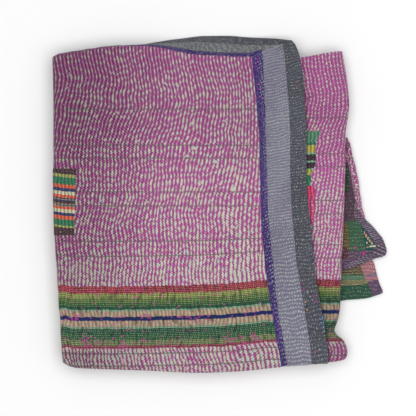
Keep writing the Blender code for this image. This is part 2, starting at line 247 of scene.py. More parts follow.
# Soft troughs pressed into the stack: both ends, half-width and depth.
TROUGHS = (
    (-240, 205, -228, 75, 12, 1.3),
    (-42, 256, -14, 214, 9, 1.4),
    (150, 205, 164, 193, 5, 1.1),
    (-262, -40, -240, -150, 14, 0.8),
    (40, 150, 48, 20, 14, 0.7),
    (144, -142, 172, -141, 3, 2.4),
    (152, -189, 178, -191, 3, 2.4),
    (112, -118, 138, -112, 3, 1.2),
)


def lift(x, y):
    """How much the stack's height is scaled: a low crown, a lean, soft dips, troughs and lumps."""
    crown = 0.06 * (1 - (x / 330) ** 2) * (1 - (y / 330) ** 2)
    dips = 0.035 * np.exp(-(((x + 235) / 40) ** 2) - ((y - 150) / 70) ** 2)
    dips = dips + 0.03 * np.exp(-(((x + 27) / 40) ** 2) - ((y - 235) / 35) ** 2)
    scale = 1 + crown - dips - 0.02 * x / 300
    for x0, y0, x1, y1, width, depth in TROUGHS:
        run_x, run_y = x1 - x0, y1 - y0
        share = np.clip(((x - x0) * run_x + (y - y0) * run_y) / (run_x**2 + run_y**2), 0, 1)
        away = np.hypot(x - x0 - share * run_x, y - y0 - share * run_y)
        scale = scale - depth / TOP * np.exp(-((away / width) ** 2))
    return scale + 0.008 * drift(x, y, 70, 11) + 0.004 * drift(x, y, 26, 12)


def droop(x, y):
    """How far the upper flap sinks towards the table, where nothing lies under it."""
    return 5.0 * smooth((x - 230) / 60) * (1 - smooth((-75 - y) / 25))


# ---------------------------------------------------------------- the end border's four lines


def fall_line(line, share):
    """x, y, height and lean of one line of the end border at shares of its length."""
    table = [curve(share, FALL[:, 0], column) for column in FALL.T[1:]]
    ys, zs = np.array(table[0::2]), TOP * (1 - np.array(table[1::2]))
    reach = np.concatenate([ys[:1] - BROW, ys, 2 * ys[-1:] - ys[-2:-1]])
    rise = np.concatenate([np.full_like(zs[:1], TOP), zs, 2 * zs[-1:] - zs[-2:-1]])
    lean = np.arctan2(rise[:-2] - rise[2:], reach[2:] - reach[:-2])
    zs[-1] = np.maximum(zs[-1], LEAF * np.cos(lean[-1]))
    x = FALL_START + share * (MITRE_X[line] - FALL_START)
    return x, ys[line], zs[line], lean[line]


def bend(start, end, lean_start, lean_end, share):
    """A smooth curve in (y, z) that leaves start and arrives at end along the cloth's lean."""
    chord = np.hypot(end[0] - start[0], end[1] - start[1])
    leave = (chord * np.cos(lean_start), -chord * np.sin(lean_start))
    arrive = (chord * np.cos(lean_end), -chord * np.sin(lean_end))
    h = (
        2 * share**3 - 3 * share**2 + 1,
        share**3 - 2 * share**2 + share,
        -2 * share**3 + 3 * share**2,
        share**3 - share**2,
    )
    y, z = (h[0] * start[k] + h[1] * leave[k] + h[2] * end[k] + h[3] * arrive[k] for k in (0, 1))
    return y, z, lean_start + (lean_end - lean_start) * share


# ---------------------------------------------------------------- the serpentine of cloth


def walk_at(length):
    """Where a length of cloth has got to: 0 to 1 along panel 1, 1 to 2 round fold 1 and so on."""
    return np.interp(length, KNOTS, np.arange(len(KNOTS)))


def stepped(walk, steps):
    """A value for each panel, blended round the folds between them."""
    return np.interp(walk, np.arange(8), np.repeat(steps, 2))


def fold_centre(fold, y):
    """x of the middle of a side fold."""
    if fold == 2:
        return across("right", y) - ROUND
    inset = (fold == 3) * (4.5 + 2.5 * np.sin(y / 90))
    return across("left", y) + ROUND + inset


def panel_ends(panel, y, leaf):
    """x where a panel starts and ends, for the outer leaf (1) or the inner leaf (-1) at each y."""
    if panel == 1:
        seam_x, hidden = across("purple", y) - SEAM, across("edge", y) - TUCK
        start = np.where(leaf < 0, seam_x + (hidden - seam_x) * smooth((y - FOLD_Y) / 20), seam_x)
    else:
        start = fold_centre(panel - 1, y)
    if panel == 4:
        return start, np.where(leaf < 0, across("upper", y), across("lower", y))
    return start, fold_centre(panel, y)


def place(walk, y, out):
    """x and z of points that lie out mm from the middle of the doubled leaf.

    A panel is a straight run between its two ends, alternately one way up and the other. A fold is a
    half circle of radius PITCH + out or PITCH - out about its centre.
    """
    walk, y, out = np.broadcast_arrays(walk, y, out)
    leaf = np.where(out < 0, -1, 1)
    x, z = np.zeros(walk.shape), np.zeros(walk.shape)
    for part in range(len(PART_LENGTHS)):
        here = (walk >= part) & ((walk < part + 1) | (part == 6))
        if not here.any():
            continue
        number, at = part // 2 + 1, walk - part
        middle = (LAYERS + 0.5 - 2 * number) * PITCH + LEAF / 2
        turn = 1 if number % 2 else -1
        if part % 2 == 0:
            start, end = panel_ends(number, y, leaf)
            part_x, part_z = start + (end - start) * at, middle + turn * out
            if number == 4:
                part_z = part_z - np.where(leaf < 0, droop(part_x, y), 0)
        else:
            radius = PITCH + turn * out
            part_x = fold_centre(number, y) - turn * radius * np.sin(at * np.pi)
            part_z = middle - PITCH + radius * np.cos(at * np.pi)
        x, z = np.where(here, part_x, x), np.where(here, part_z, z)
    return x, z


def near_middle(walk):
    """y of the middle of the turn at the near fold."""
    x = place(walk, FOLD_Y, 0.0)[0]
    return curve(x, NEAR["x"], NEAR["y"]) + OUTER + stepped(walk, NEAR_STEP)


def seam(walk):
    """The top layer's far end, which falls with the end border: y, height and lean."""
    x = place(walk, FAR_Y, OUTER)[0]
    share = np.clip((x - FALL_START) / (MITRE_X[0] - FALL_START), 0, 1)
    _, y, z, lean = fall_line(0, share)
    falling = 1 - smooth((walk - 1) / CORNER_TURN)
    return y - CORNER_STEP * (1 - falling), TOP - (TOP - z) * falling, lean * falling


def far_end(walk, leaf):
    """y of the far end of the outer leaf (1) or the inner leaf (-1)."""
    x = place(walk, FAR_Y, leaf * OUTER)[0]
    end = curve(x, FAR["x"], FAR["y"]) - stepped(walk, FAR_STEP[leaf])
    if leaf > 0:
        end = end + (seam(walk)[0] - end) * (1 - smooth(walk - 1))
    return end


def cloth_point(walk, along, radius):
    """Points of the folded cloth: walk says how far along the layers, along how far from the near fold.

    along is 0 in the middle of the turn at the near fold, positive on the outer leaf and negative on
    the inner one. The turn is a half circle of the given radius, and both leaves run straight on from
    it towards +Y. The top layer's last BROW mm bend down to its seam.
    """
    walk, along, radius = np.broadcast_arrays(walk, along, radius)
    angle = np.clip(along / OUTER, -np.pi / 2, np.pi / 2)
    y = near_middle(walk) - radius * np.cos(angle) + np.maximum(np.abs(along) - QUARTER, 0)
    out = radius * np.sin(angle)
    seam_y, seam_z, seam_lean = seam(walk)
    brow = seam_y - BROW
    falls = (walk < 1 + CORNER_TURN) & (along > 0) & (y > brow)
    share = np.clip((y - brow) / BROW, 0, 1)
    bent_y, bent_z, lean = bend((brow, TOP), (seam_y, seam_z), 0, seam_lean, share)
    depth = OUTER - radius
    y = np.where(falls, bent_y - depth * np.sin(lean), y)
    x, z = place(walk, y, out)
    z = np.where(falls, z + bent_z - TOP + depth * (1 - np.cos(lean)), z)
    return np.stack([x, y, z], -1)


def length_of(walk, leaf):
    """How far along the cloth a leaf's far end lies from the middle of its turn."""
    return QUARTER + far_end(walk, leaf) - near_middle(walk)


# ---------------------------------------------------------------- stitch rows


def sway(length, y):
    """How far the stitch rows wander sideways, in mm, at a place on the cloth."""
    slow = 3.0 * drift(length * 0.35, y, 150, 21) + 1.1 * drift(length * 0.4, y, 50, 22)
    slow = slow - 11 * np.tanh((y - 41 - 0.47 * length) / 45) * (1 - smooth((length - 360) / 60))
    quick = (0.35 + 0.5 * smooth((-250 - y) / 12)) * drift(length * 0.6, y, 17, 23)
    corner = 9 * smooth((-248 - y) / 48) * np.exp(-(((length - 362) / 30) ** 2))
    return slow + quick - corner


def ridge(rows):
    """Height of the puckers across the stitch rows, -0.65 in the stitched grooves to 0.35 between."""
    return np.abs(np.sin(np.pi * rows)) ** 0.85 - 0.65


def band_rise(x):
    """How far the striped band climbs towards the right."""
    return 12.6 * np.clip((x + 180) / 266, 0, 1) ** 2.2


BETWEEN_PANELS = 150  # x that parts the top panel from what shows of the second one
BELOW_BAND = -255  # y of the striped band's near edge, before its climb


def paleness(x, y):
    """How much of the pale stitching shows: least at the far end, most below the striped band."""
    pale = 0.42 + 0.14 * smooth((150 - y) / 150) + 0.16 * smooth((-60 - y) / 70) + 0.0006 * (x + 100)
    pale = pale + 0.12 * np.exp(-(((x + 240) / 60) ** 2) - ((y + 120) / 25) ** 2)
    pale = np.where(y - band_rise(x) < BELOW_BAND, 0.80, pale)
    pale = pale - 0.15 * smooth((y - 215) / 35)
    second = 0.59 - 0.33 * smooth((y + 10) / 120) - 0.22 * smooth((-y - 250) / 15)
    pale = np.where(x > BETWEEN_PANELS, second, pale)
    return np.clip(pale + 0.08 * drift(x, y, 60, 31) + 0.08 * drift(x, y, 22, 32), 0, 1)


def fading(x, y):
    """How light the field's cloth is, as painted shade: least at the left fold, both ends and beside the top
    panel.
    """
    # Painted shade towards the left fold and towards both ends.
    left, far, near = 1 - smooth((x + 270) / 200), smooth((y - 20) / 150), smooth((-y - 215) / 60)
    level = y - band_rise(x)
    band = smooth((-level - 143) / 8) * smooth((level + 266) / 8)
    right = smooth((x - BETWEEN_PANELS) / 5)
    # Painted shadow of the top panel's edge on the second panel, and painted shade on the second panel's near
    # part.
    edge_shadow = right * (0.17 * smooth((-y - 130) / 30) + 0.4 * smooth((across("edge", y) + 5 - x) / 4))
    return 1 - 0.28 * left * (1 - band) - 0.1 * far - 0.1 * near - edge_shadow


# ---------------------------------------------------------------- meshes


def outward(grid):
    """Unit normals of a grid that mostly faces up: the cross product of its two directions."""
    normal = np.cross(np.gradient(grid, axis=1), np.gradient(grid, axis=0))
    normal = normal / np.maximum(np.linalg.norm(normal, axis=-1, keepdims=True), 1e-9)
    return normal if normal[..., 2].mean() > 0 else -normal


def frame_shift():
    """Where the stack's own origin lies in the frame, in mm."""
    edge_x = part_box("side_border_grey")[1][0] / MM
    corner_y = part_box("flap_binding")[0][1] / MM
    return np.array([edge_x - ACROSS[:, COLUMNS.index("edge")].max(), corner_y - BINDING_END, 0.0])


def make_cloth(name, face, back, rows, length, pale, kind, node_names=()):
    """One closed sheet between a face grid and a back grid of rows x columns x 3 points in mm.

    rows and length are its UV map "rows": the number of the stitch row and centimetres along it.
    kind names its material.
    """
    count, flat = face.shape[:2], FLAT[name]
    points = np.concatenate([face.reshape(-1, 3), back.reshape(-1, 3)])
    points[:, 2] *= lift(points[:, 0], points[:, 1])
    points[:, 2] = np.maximum(points[:, 2], 0)
    points = (points + frame_shift()) * MM
    index = np.arange(2 * count[0] * count[1]).reshape(2, *count)
    top, under = (np.stack([g[:-1, :-1], g[1:, :-1], g[1:, 1:], g[:-1, 1:]], -1) for g in index)
    quads = [top, under[..., ::-1]]
    for edge, flip in ((index[:, 0], 1), (index[:, -1], -1), (index[:, :, 0], -1), (index[:, :, -1], 1)):
        rim = np.stack([edge[0, :-1], edge[0, 1:], edge[1, 1:], edge[1, :-1]], -1)
        quads.append(rim[:, ::flip])
    faces = np.concatenate([q.reshape(-1, 4) for q in quads])
    a, b, c, d = np.moveaxis(points[faces], 1, 0)
    volume = np.sum(a * np.cross(b - a, c - a)) + np.sum(a * np.cross(c - a, d - a))
    if volume < 0:
        faces = faces[:, ::-1]
    mesh = bpy.data.meshes.new(name)
    mesh.from_pydata(points.tolist(), [], faces.tolist())
    layer = mesh.uv_layers.new(name="rows")
    uv = np.stack(np.broadcast_arrays(rows, length), -1).reshape(-1, 2)
    layer.data.foreach_set("uv", np.concatenate([uv, uv])[faces.ravel()].ravel().astype(np.float32))
    # The field's painted shade, kept on each sheet as a point attribute.
    tone = fading(face[..., 0], face[..., 1])
    for label, value in (("pale", pale), ("tone", tone)):
        value = np.broadcast_to(value, count).ravel().astype(np.float32)
        mesh.attributes.new(label, "FLOAT", "POINT").data.foreach_set("value", np.concatenate([value, value]))
    mesh.shade_smooth()
    mesh.set_sharp_from_angle(angle=np.radians(55))
    mesh.materials.append(cloth(kind))
    piece = bpy.data.objects.new(name, mesh)
    bpy.context.scene.collection.objects.link(piece)
    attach(piece, "root")
    if node_names:
        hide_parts(*node_names)
    return piece


# ---------------------------------------------------------------- shader nodes


def rgb(red, green, blue):
    """The linear colour of a display colour of 0 to 255."""
    value = np.array((red, green, blue)) / 255
    linear = np.where(value <= 0.04045, value / 12.92, ((value + 0.055) / 1.055) ** 2.4)
    return (*linear.tolist(), 1.0)


class Wire:
    """A node's output. Each sum, difference, product or quotient of wires adds a Math node."""

    def __init__(self, nodes, socket):
        self.nodes, self.socket = nodes, socket

    def __add__(self, other):
        return self.nodes.math("ADD", self, other)

    def __sub__(self, other):
        return self.nodes.math("SUBTRACT", self, other)

    def __rsub__(self, other):
        return self.nodes.math("SUBTRACT", other, self)

    def __mul__(self, other):
        return self.nodes.math("MULTIPLY", self, other)

    def __truediv__(self, other):
        return self.nodes.math("DIVIDE", self, other)

    def __abs__(self):
        return self.nodes.math("ABSOLUTE", self)

    __radd__, __rmul__ = __add__, __mul__


class Nodes:
    """A short way to add nodes to one shader tree and join them."""

    def __init__(self, tree):
        self.tree = tree

    def add(self, kind, inputs=None, **settings):
        """Adds a node; inputs maps its sockets to values, wires or tuples of them."""
        node = self.tree.nodes.new(kind)
        for key, value in settings.items():
            setattr(node, key, value)
        for key, value in (inputs or {}).items():
            self.feed(node.inputs[key], value)
        return node

    def out(self, node, key=0):
        return Wire(self, node.outputs[key])

    def feed(self, socket, value):
        if isinstance(value, tuple) and any(isinstance(part, Wire) for part in value):
            value = self.out(self.add("ShaderNodeCombineXYZ", dict(enumerate(value))))
        if isinstance(value, Wire):
            self.tree.links.new(value.socket, socket)
        else:
            socket.default_value = value

    def math(self, operation, a, b=0.0):
        return self.out(self.add("ShaderNodeMath", {0: a, 1: b}, operation=operation))

    def clamp(self, a, low, high):
        return self.math("MINIMUM", self.math("MAXIMUM", a, low), high)

    def least(self, wires):
        """The smallest of several wires."""
        return functools.reduce(lambda a, b: self.math("MINIMUM", a, b), wires)

    def whole(self, a):
        return self.math("FLOOR", a)

    def part(self, a):
        return self.math("FRACT", a)

    def sine(self, a):
        return self.math("SINE", a)

    def step(self, value, low, high, start=0.0, end=1.0):
        """start below low, end above high, and an S-curve between."""
        inputs = {0: value, 1: low, 2: high, 3: start, 4: end}
        return self.out(self.add("ShaderNodeMapRange", inputs, interpolation_type="SMOOTHSTEP"))

    def blend(self, amount, a, b, kind="MIX"):
        node = self.add("ShaderNodeMix", {0: amount, 6: a, 7: b}, data_type="RGBA", blend_type=kind)
        return self.out(node, 2)

    def over(self, colour, paint, value, low, high, most=1.0):
        """A colour with paint over it: none where value is at low, and most of it at high."""
        return self.blend(self.step(value, low, high, 0.0, most), colour, paint)

    def tint(self, colour, shade):
        """A colour times a number."""
        return self.blend(1.0, colour, (shade, shade, shade), "MULTIPLY")

    def parts(self, vector):
        node = self.add("ShaderNodeSeparateXYZ", {0: vector})
        return [self.out(node, k) for k in range(3)]

    def noise(self, vector, scale=1.0, detail=2.0):
        return self.out(self.add("ShaderNodeTexNoise", {"Vector": vector, "Scale": scale, "Detail": detail}))

    def random(self, vector):
        """A random number for each point, then three more."""
        node = self.add("ShaderNodeTexWhiteNoise", {"Vector": vector}, noise_dimensions="3D")
        return [self.out(node, 0), *self.parts(self.out(node, 1))]

    def attribute(self, name):
        return self.out(self.add("ShaderNodeAttribute", attribute_name=name), "Fac")


def group(n, build, *values):
    """A shared node group's outputs; build makes the group the first time that it is used."""
    tree = bpy.data.node_groups.get(build.__name__) or build()
    node = n.add("ShaderNodeGroup", node_tree=tree)
    for socket, value in zip(node.inputs, values):
        n.feed(socket, value)
    return [n.out(node, k) for k in range(len(node.outputs))]


def new_group(name, inputs, outputs):
    """An empty shader group, its Nodes, its inputs as wires and the sockets that it gives out."""
    tree = bpy.data.node_groups.new(name, "ShaderNodeTree")
    for label in inputs:
        kind = "NodeSocketVector" if label == "Vector" else "NodeSocketFloat"
        tree.interface.new_socket(label, in_out="INPUT", socket_type=kind)
    for label in outputs:
        tree.interface.new_socket(label, in_out="OUTPUT", socket_type="NodeSocketFloat")
    n = Nodes(tree)
    start, end = n.add("NodeGroupInput"), n.add("NodeGroupOutput")
    return tree, n, [n.out(start, k) for k in range(len(inputs))], end.inputs


BEAD = 0.462  # spacing of the small stitches along a row, in cm


def running_stitch():
    """Running stitch: each row is cut into dashes, ovals of random length, breadth and shift.

    Rows counts the rows, with a groove at each whole number, and Length is centimetres along them.
    Pale, 0 to 1, lengthens and widens the dashes until they run together. Share of them are whole, and
    the others shorter and dimmer. Dash is their spacing in cm, Wobble is how far the rows wander, and
    Jumble is how far the dashes of one row are moved against the next. Bead is the cloth's own small
    stitches, two columns of them to a row and set like bricks, and Fine is how light they make it; Fine
    is also low in the grooves, and the materials paint shade in the grooves with it.
    """
    names = ("Rows", "Length", "Pale", "Share", "Dash", "Wobble", "Jumble")
    gives = ("Dash", "Groove", "Height", "Random", "Row", "Bead", "Fine")
    tree, n, inputs, give = new_group("running_stitch", names, gives)
    rows, length, pale, share, dash, wobble, jumble = inputs
    lean = n.noise((rows * 0.12, length * 0.45, 6.0)) * 3.0 + n.noise((rows * 0.45, length * 0.9)) - 2.0
    rows = rows + lean * wobble
    row, beside = n.whole(rows), n.part(rows) - 0.5
    drawn = n.noise((rows * 0.3, length * 0.6)) * 3.5
    bead = n.sine(length * (FULL_TURN / BEAD) + n.whole(rows * 2.0) * (FULL_TURN / 2) + drawn) * 0.5 + 0.5
    shaken = beside + (n.noise((row * 5.3, length * 1.9)) - 0.5) * wobble * 0.8
    own, *_ = n.random((row, 3.0))
    cells = length / dash + own * jumble + 2.2 * n.noise((rows * 0.22, length * 0.3))
    within = n.part(cells) - 0.5
    chance, one, two, three = n.random((row, n.whole(cells), 1.0))
    present = n.math("LESS_THAN", chance, share)
    half_length = (pale * pale * 0.5 + one * 0.28 + 0.08) * (present * 0.55 + 0.45)
    half_width = pale * 0.16 + two * 0.10 + 0.14
    lump = n.noise((rows * 1.9, length * 4.2)) - 0.5
    along, aside = within / half_length, (shaken + (three - 0.5) * jumble * 0.3) / half_width
    oval = along * along + aside * aside + lump * 2.2 - (bead - 0.5) * 0.6
    shown = n.step(oval, 0.75, 1.15, 1.0, 0.0) * n.math("MAXIMUM", present, pale)
    groove = n.step(abs(beside), 0.16, 0.40)
    columns = n.math("COSINE", rows * (2 * FULL_TURN))
    rough = n.noise((rows * 2.6, length * 7.0)) - 0.5
    fine = 0.6 + columns * 0.14 - groove * 0.56 + (bead - 0.5) * (groove * 0.6 + 0.4) + rough * 0.8
    height = (1.0 - 4.0 * beside * beside) * 0.55 + shown * 0.3 + bead * 0.25 + columns * 0.1
    for socket, value in zip(give, (shown, groove, height, one, row, bead, fine)):
        n.feed(socket, value)
    return tree


def cotton_grain():
    """Fine cotton: crossing threads, broken up by noise, as a shade about 1 and a height."""
    tree, n, (vector, thread, amount), give = new_group(
        "cotton_grain", ("Vector", "Thread", "Amount"), ("Shade", "Height")
    )
    x, y, z = n.parts(vector)
    weave = n.sine(x * FULL_TURN / thread) * n.sine((y - z) * FULL_TURN / thread)
    slubs = n.noise((x, y * 0.25, z), 420.0)
    loose = n.noise(vector, 480.0, 3.0) * 0.9 + slubs * 0.6 - 0.75
    n.feed(give[0], 1.0 + (weave * 0.12 + loose) * amount)
    n.feed(give[1], weave * 0.42 + loose)
    return tree


def thread_specks():
    """Small knots of thread: cells of a grid, a random few of them filled, in clumps."""
    names = ("Rows", "Length", "Per row", "Size", "Share")
    tree, n, (rows, length, per_row, size, share), give = new_group("thread_specks", names, ("Speck",))
    a, b = rows * per_row, length / size
    chance = n.random((n.whole(a), n.whole(b), 5.0))[0]
    clump = n.step(n.noise((rows * 0.16, length * 0.3)), 0.35, 0.7, 0.15, 2.2)
    far = n.math("MAXIMUM", abs(n.part(a) - 0.5), abs(n.part(b) - 0.5))
    n.feed(give[0], n.math("LESS_THAN", chance, share * clump) * n.step(far, 0.30, 0.48, 1.0, 0.0))
    return tree


# ---------------------------------------------------------------- what the cloths share


def stripes(n, value, table):
    """A colour ramp over a table of (place, colour): each colour reaches from its place to the next.

    value runs from the first place to the last, whichever is larger.
    """
    first, last = table[0][0], table[-1][0]
    ramp = n.add("ShaderNodeValToRGB", {0: (value - first) / (last - first)})
    stops = ramp.color_ramp
    stops.interpolation = "CONSTANT"
    stops.elements.remove(stops.elements[1])
    for at, colour in table[:-1]:
        share = (at - first) / (last - first)
        stop = stops.elements[0] if share == 0 else stops.elements.new(share)
        stop.color = rgb(*colour)
    return n.out(ramp)


def new_cloth(name):
    """An empty matt cotton material and what every cloth here starts from."""
    material = bpy.data.materials.new(name)
    material.use_nodes = True
    n = Nodes(material.node_tree)
    shader = material.node_tree.nodes["Principled BSDF"]
    shader.inputs["Metallic"].default_value = 0.0
    shader.inputs["Specular IOR Level"].default_value = 0.2
    shader.inputs["Sheen Weight"].default_value = 0.08
    shader.inputs["Sheen Roughness"].default_value = 0.6
    spot = n.out(n.add("ShaderNodeTexCoord"), "Object")
    rows, length, _ = n.parts(n.out(n.add("ShaderNodeUVMap", uv_map="rows")))
    return material, n, shader, spot, rows, length


THREAD = 0.0011  # spacing of the threads in the weave, in metres
ROUGHNESS = 0.89  # of the cloth at its lowest


def finish_cloth(n, shader, spot, colour, tint, grain, height, thread_height, relief):
    """Adds the cotton's grain, and joins the colour, the roughness and a bump of relief metres."""
    shade, thread = group(n, cotton_grain, spot, THREAD, grain)
    height = height + thread * thread_height
    n.feed(shader.inputs["Base Color"], n.tint(colour, shade * tint))
    n.feed(shader.inputs["Roughness"], height * 0.06 + ROUGHNESS)
    bump = n.add("ShaderNodeBump", {"Strength": 1.0, "Distance": relief, "Height": height})
    n.feed(shader.inputs["Normal"], n.out(bump))


def dotted(n, spot, colour, spots):
    """Knots and ends of thread on a cloth: ovals of (x, y, half width, half height in mm, colour)."""
    if not spots:
        return colour
    x, y = design_place(n, spot)
    for at_x, at_y, wide, high, paint in spots:
        across_it, along_it = (x - at_x) / wide, (y - at_y) / high
        away = across_it * across_it + along_it * along_it
        colour = n.blend(n.step(away, 0.5, 1.3, 0.9, 0.0), colour, rgb(*paint))
    return colour


def design_place(n, spot):
    """The stack's own x and y in mm, a little ragged."""
    shift = frame_shift()
    x, y, _ = n.parts(spot)
    ragged = (n.noise(spot, 260.0) - 0.5) * 1.6
    return x / MM - float(shift[0]) + ragged, y / MM - float(shift[1]) - ragged


def inside(n, x, y, corners):
    """1 inside an outline with no hollows, fading over 1 mm at its edges."""
    middle = np.mean(corners, 0)
    distances = []
    for start, end in zip(corners, corners[1:] + corners[:1]):
        run = np.subtract(end, start)
        side = np.array([-run[1], run[0]]) / np.hypot(*run)
        side = side * np.sign(side @ (middle - start))
        distances.append(x * float(side[0]) + y * float(side[1]) - float(side @ start))
    return n.step(n.least(distances), -0.5, 0.5)


# ---------------------------------------------------------------- the field and its striped band

# The band, as V of the UV map in cm, far to near.
BAND = (
    (-14.82, (166, 30, 72)),
    (-16.12, (150, 160, 86)),
    (-17.00, (98, 124, 62)),
    (-17.80, (54, 98, 58)),
    (-18.50, (24, 78, 54)),
    (-19.00, (118, 158, 134)),
    (-19.26, (164, 142, 120)),
    (-20.32, (12, 36, 92)),
    (-21.02, (164, 142, 122)),
    (-22.15, (118, 160, 136)),
    (-22.45, (24, 86, 66)),
    (-23.50, (40, 98, 64)),
    (-24.54, (122, 140, 92)),
    (-25.50, (156, 38, 82)),
    (-26.07, (156, 38, 82)),
)
NAVY_LINE = -20.65  # V of the navy stripe's middle
PEACH_MIDDLE = -20.7  # of the middle of the peach stripes on both sides of it
SPECK_LINE = -20.6  # of the thread specks along it
BAND_MIDDLE = -20.4  # and of the whole band's middle
BAND_WEFT = 0.33  # spacing of the band's rows of small dots, in cm
# The pleats' painted highlight and painted shade, and the mottled peach.
PLEAT_HIGHLIGHT, PLEAT_SHADE, MOTTLED = rgb(214, 178, 158), rgb(104, 104, 78), rgb(128, 136, 102)
WEFT_DARK, WEFT_DOT, SPECK = rgb(10, 52, 40), rgb(196, 200, 150), rgb(176, 58, 136)
# Red streaks; dark streaks, also the painted shade in the patches' grooves; and the painted shade in the
# band's stitched grooves.
STREAK_RED, DARK, BAND_GROOVE_SHADE = rgb(206, 52, 84), rgb(36, 28, 36), rgb(22, 22, 32)
# Faint green weft lines across the field, as V in cm.
WEFT_LINES = (17.1, 10.6, 8.3, 2.2, -0.3, -6.7, -9.4, -27.0, -29.2)
LEANING = (-14.0, 18.0)  # V between which the stitches lean one way
BELOW_LEAN = -26.0  # and below which they lean the other way


def field_material(name, colours, dash_length, jumble, depth, strength, slant, weft_shift, threads):
    """The quilted field: magenta cloth, pale running stitch, weft lines and the striped band.

    dash_length is the spacing of the dashes in cm, jumble is running_stitch's, depth is how strong the
    painted shade in the grooves is, and strength is how strongly the pale stitch covers the cloth. slant
    is how many rows the stitches lean by in each cm above the band, and below it they lean back.
    weft_shift moves the weft lines by so many cm, and threads are odd knots for dotted().
    """
    material, n, shader, spot, rows, length = new_cloth(name)
    pale, tone = n.attribute("pale"), n.attribute("tone")
    back = n.math("MINIMUM", length - BELOW_LEAN, 0.0)
    leaning = rows + n.clamp(length, *LEANING) * slant - back * slant
    dash, groove, height, chance, row, bead, fine = group(
        n, running_stitch, leaning, length, pale, pale * 0.35 + 0.77, dash_length, 0.3, jumble
    )
    fleck = n.noise((rows * 2.3, length * 5.0), 1.0, 3.0)
    worn = n.step(n.noise(spot, 5.0, 3.0), 0.42, 0.62, 0.0, 0.3)
    magenta = n.blend(worn, colours["magenta"], colours["dusky"])
    # Partly the cloth's small stitches, partly painted highlight on the ridges between the grooves.
    magenta = n.over(magenta, colours["bright"], fine, 0.42, 0.85, 0.95)
    # Painted shade in the stitched grooves, deeper where the field's painted shade is.
    deep = n.step(fine, 0.5, 0.15) * (1.25 - pale * 0.8) * (2.7 - tone * 2.0) * depth
    magenta = n.blend(deep, magenta, colours["groove"])
    sage = n.blend(n.step(n.noise(spot, 40.0, 3.0), 0.35, 0.65), colours["sage"], colours["mint"])
    sage = n.blend(chance * 0.3 + bead * 0.2, sage, colours["cream"])
    sage = n.over(sage, colours["dusky"], fleck, 0.45, 0.25, 0.3)
    bridge = n.noise((rows * 0.55, length * 0.75, 4.0)) + n.math("MINIMUM", pale, 0.55) * 0.12
    shown = n.math("MAXIMUM", dash, n.step(bridge - (1.0 - bead) * 0.05, 0.69, 0.75))
    field = n.blend(shown * strength, magenta, sage)
    spots = n.step(n.noise((rows * 0.30, length * 0.6, 9.0), 1.0, 3.0), 0.74, 0.80)
    field = n.blend(spots * shown, field, colours["teal"])
    own_y = design_place(n, spot)[1] / 10.0
    level = length + (own_y - length) * n.step(length, -12.0, -2.0) + weft_shift
    nearest = n.least([abs(level - line) for line in WEFT_LINES])
    weft = n.step(nearest, 0.05, 0.17, 0.85, 0.0) * (shown * 0.4 + 0.6) * n.step(fleck, 0.3, 0.6, 0.5, 1.0)
    field = n.blend(weft, field, colours["weft"])
    band, in_band = striped_band(n, rows, length, row, groove, bead)
    colour = dotted(n, spot, n.blend(in_band, field, band), threads)
    # The painted shade darkens the whole field, the band with it.
    finish_cloth(n, shader, spot, colour, tone * 0.96, 0.8, height * 0.85, 0.16, 0.0011)
    return material


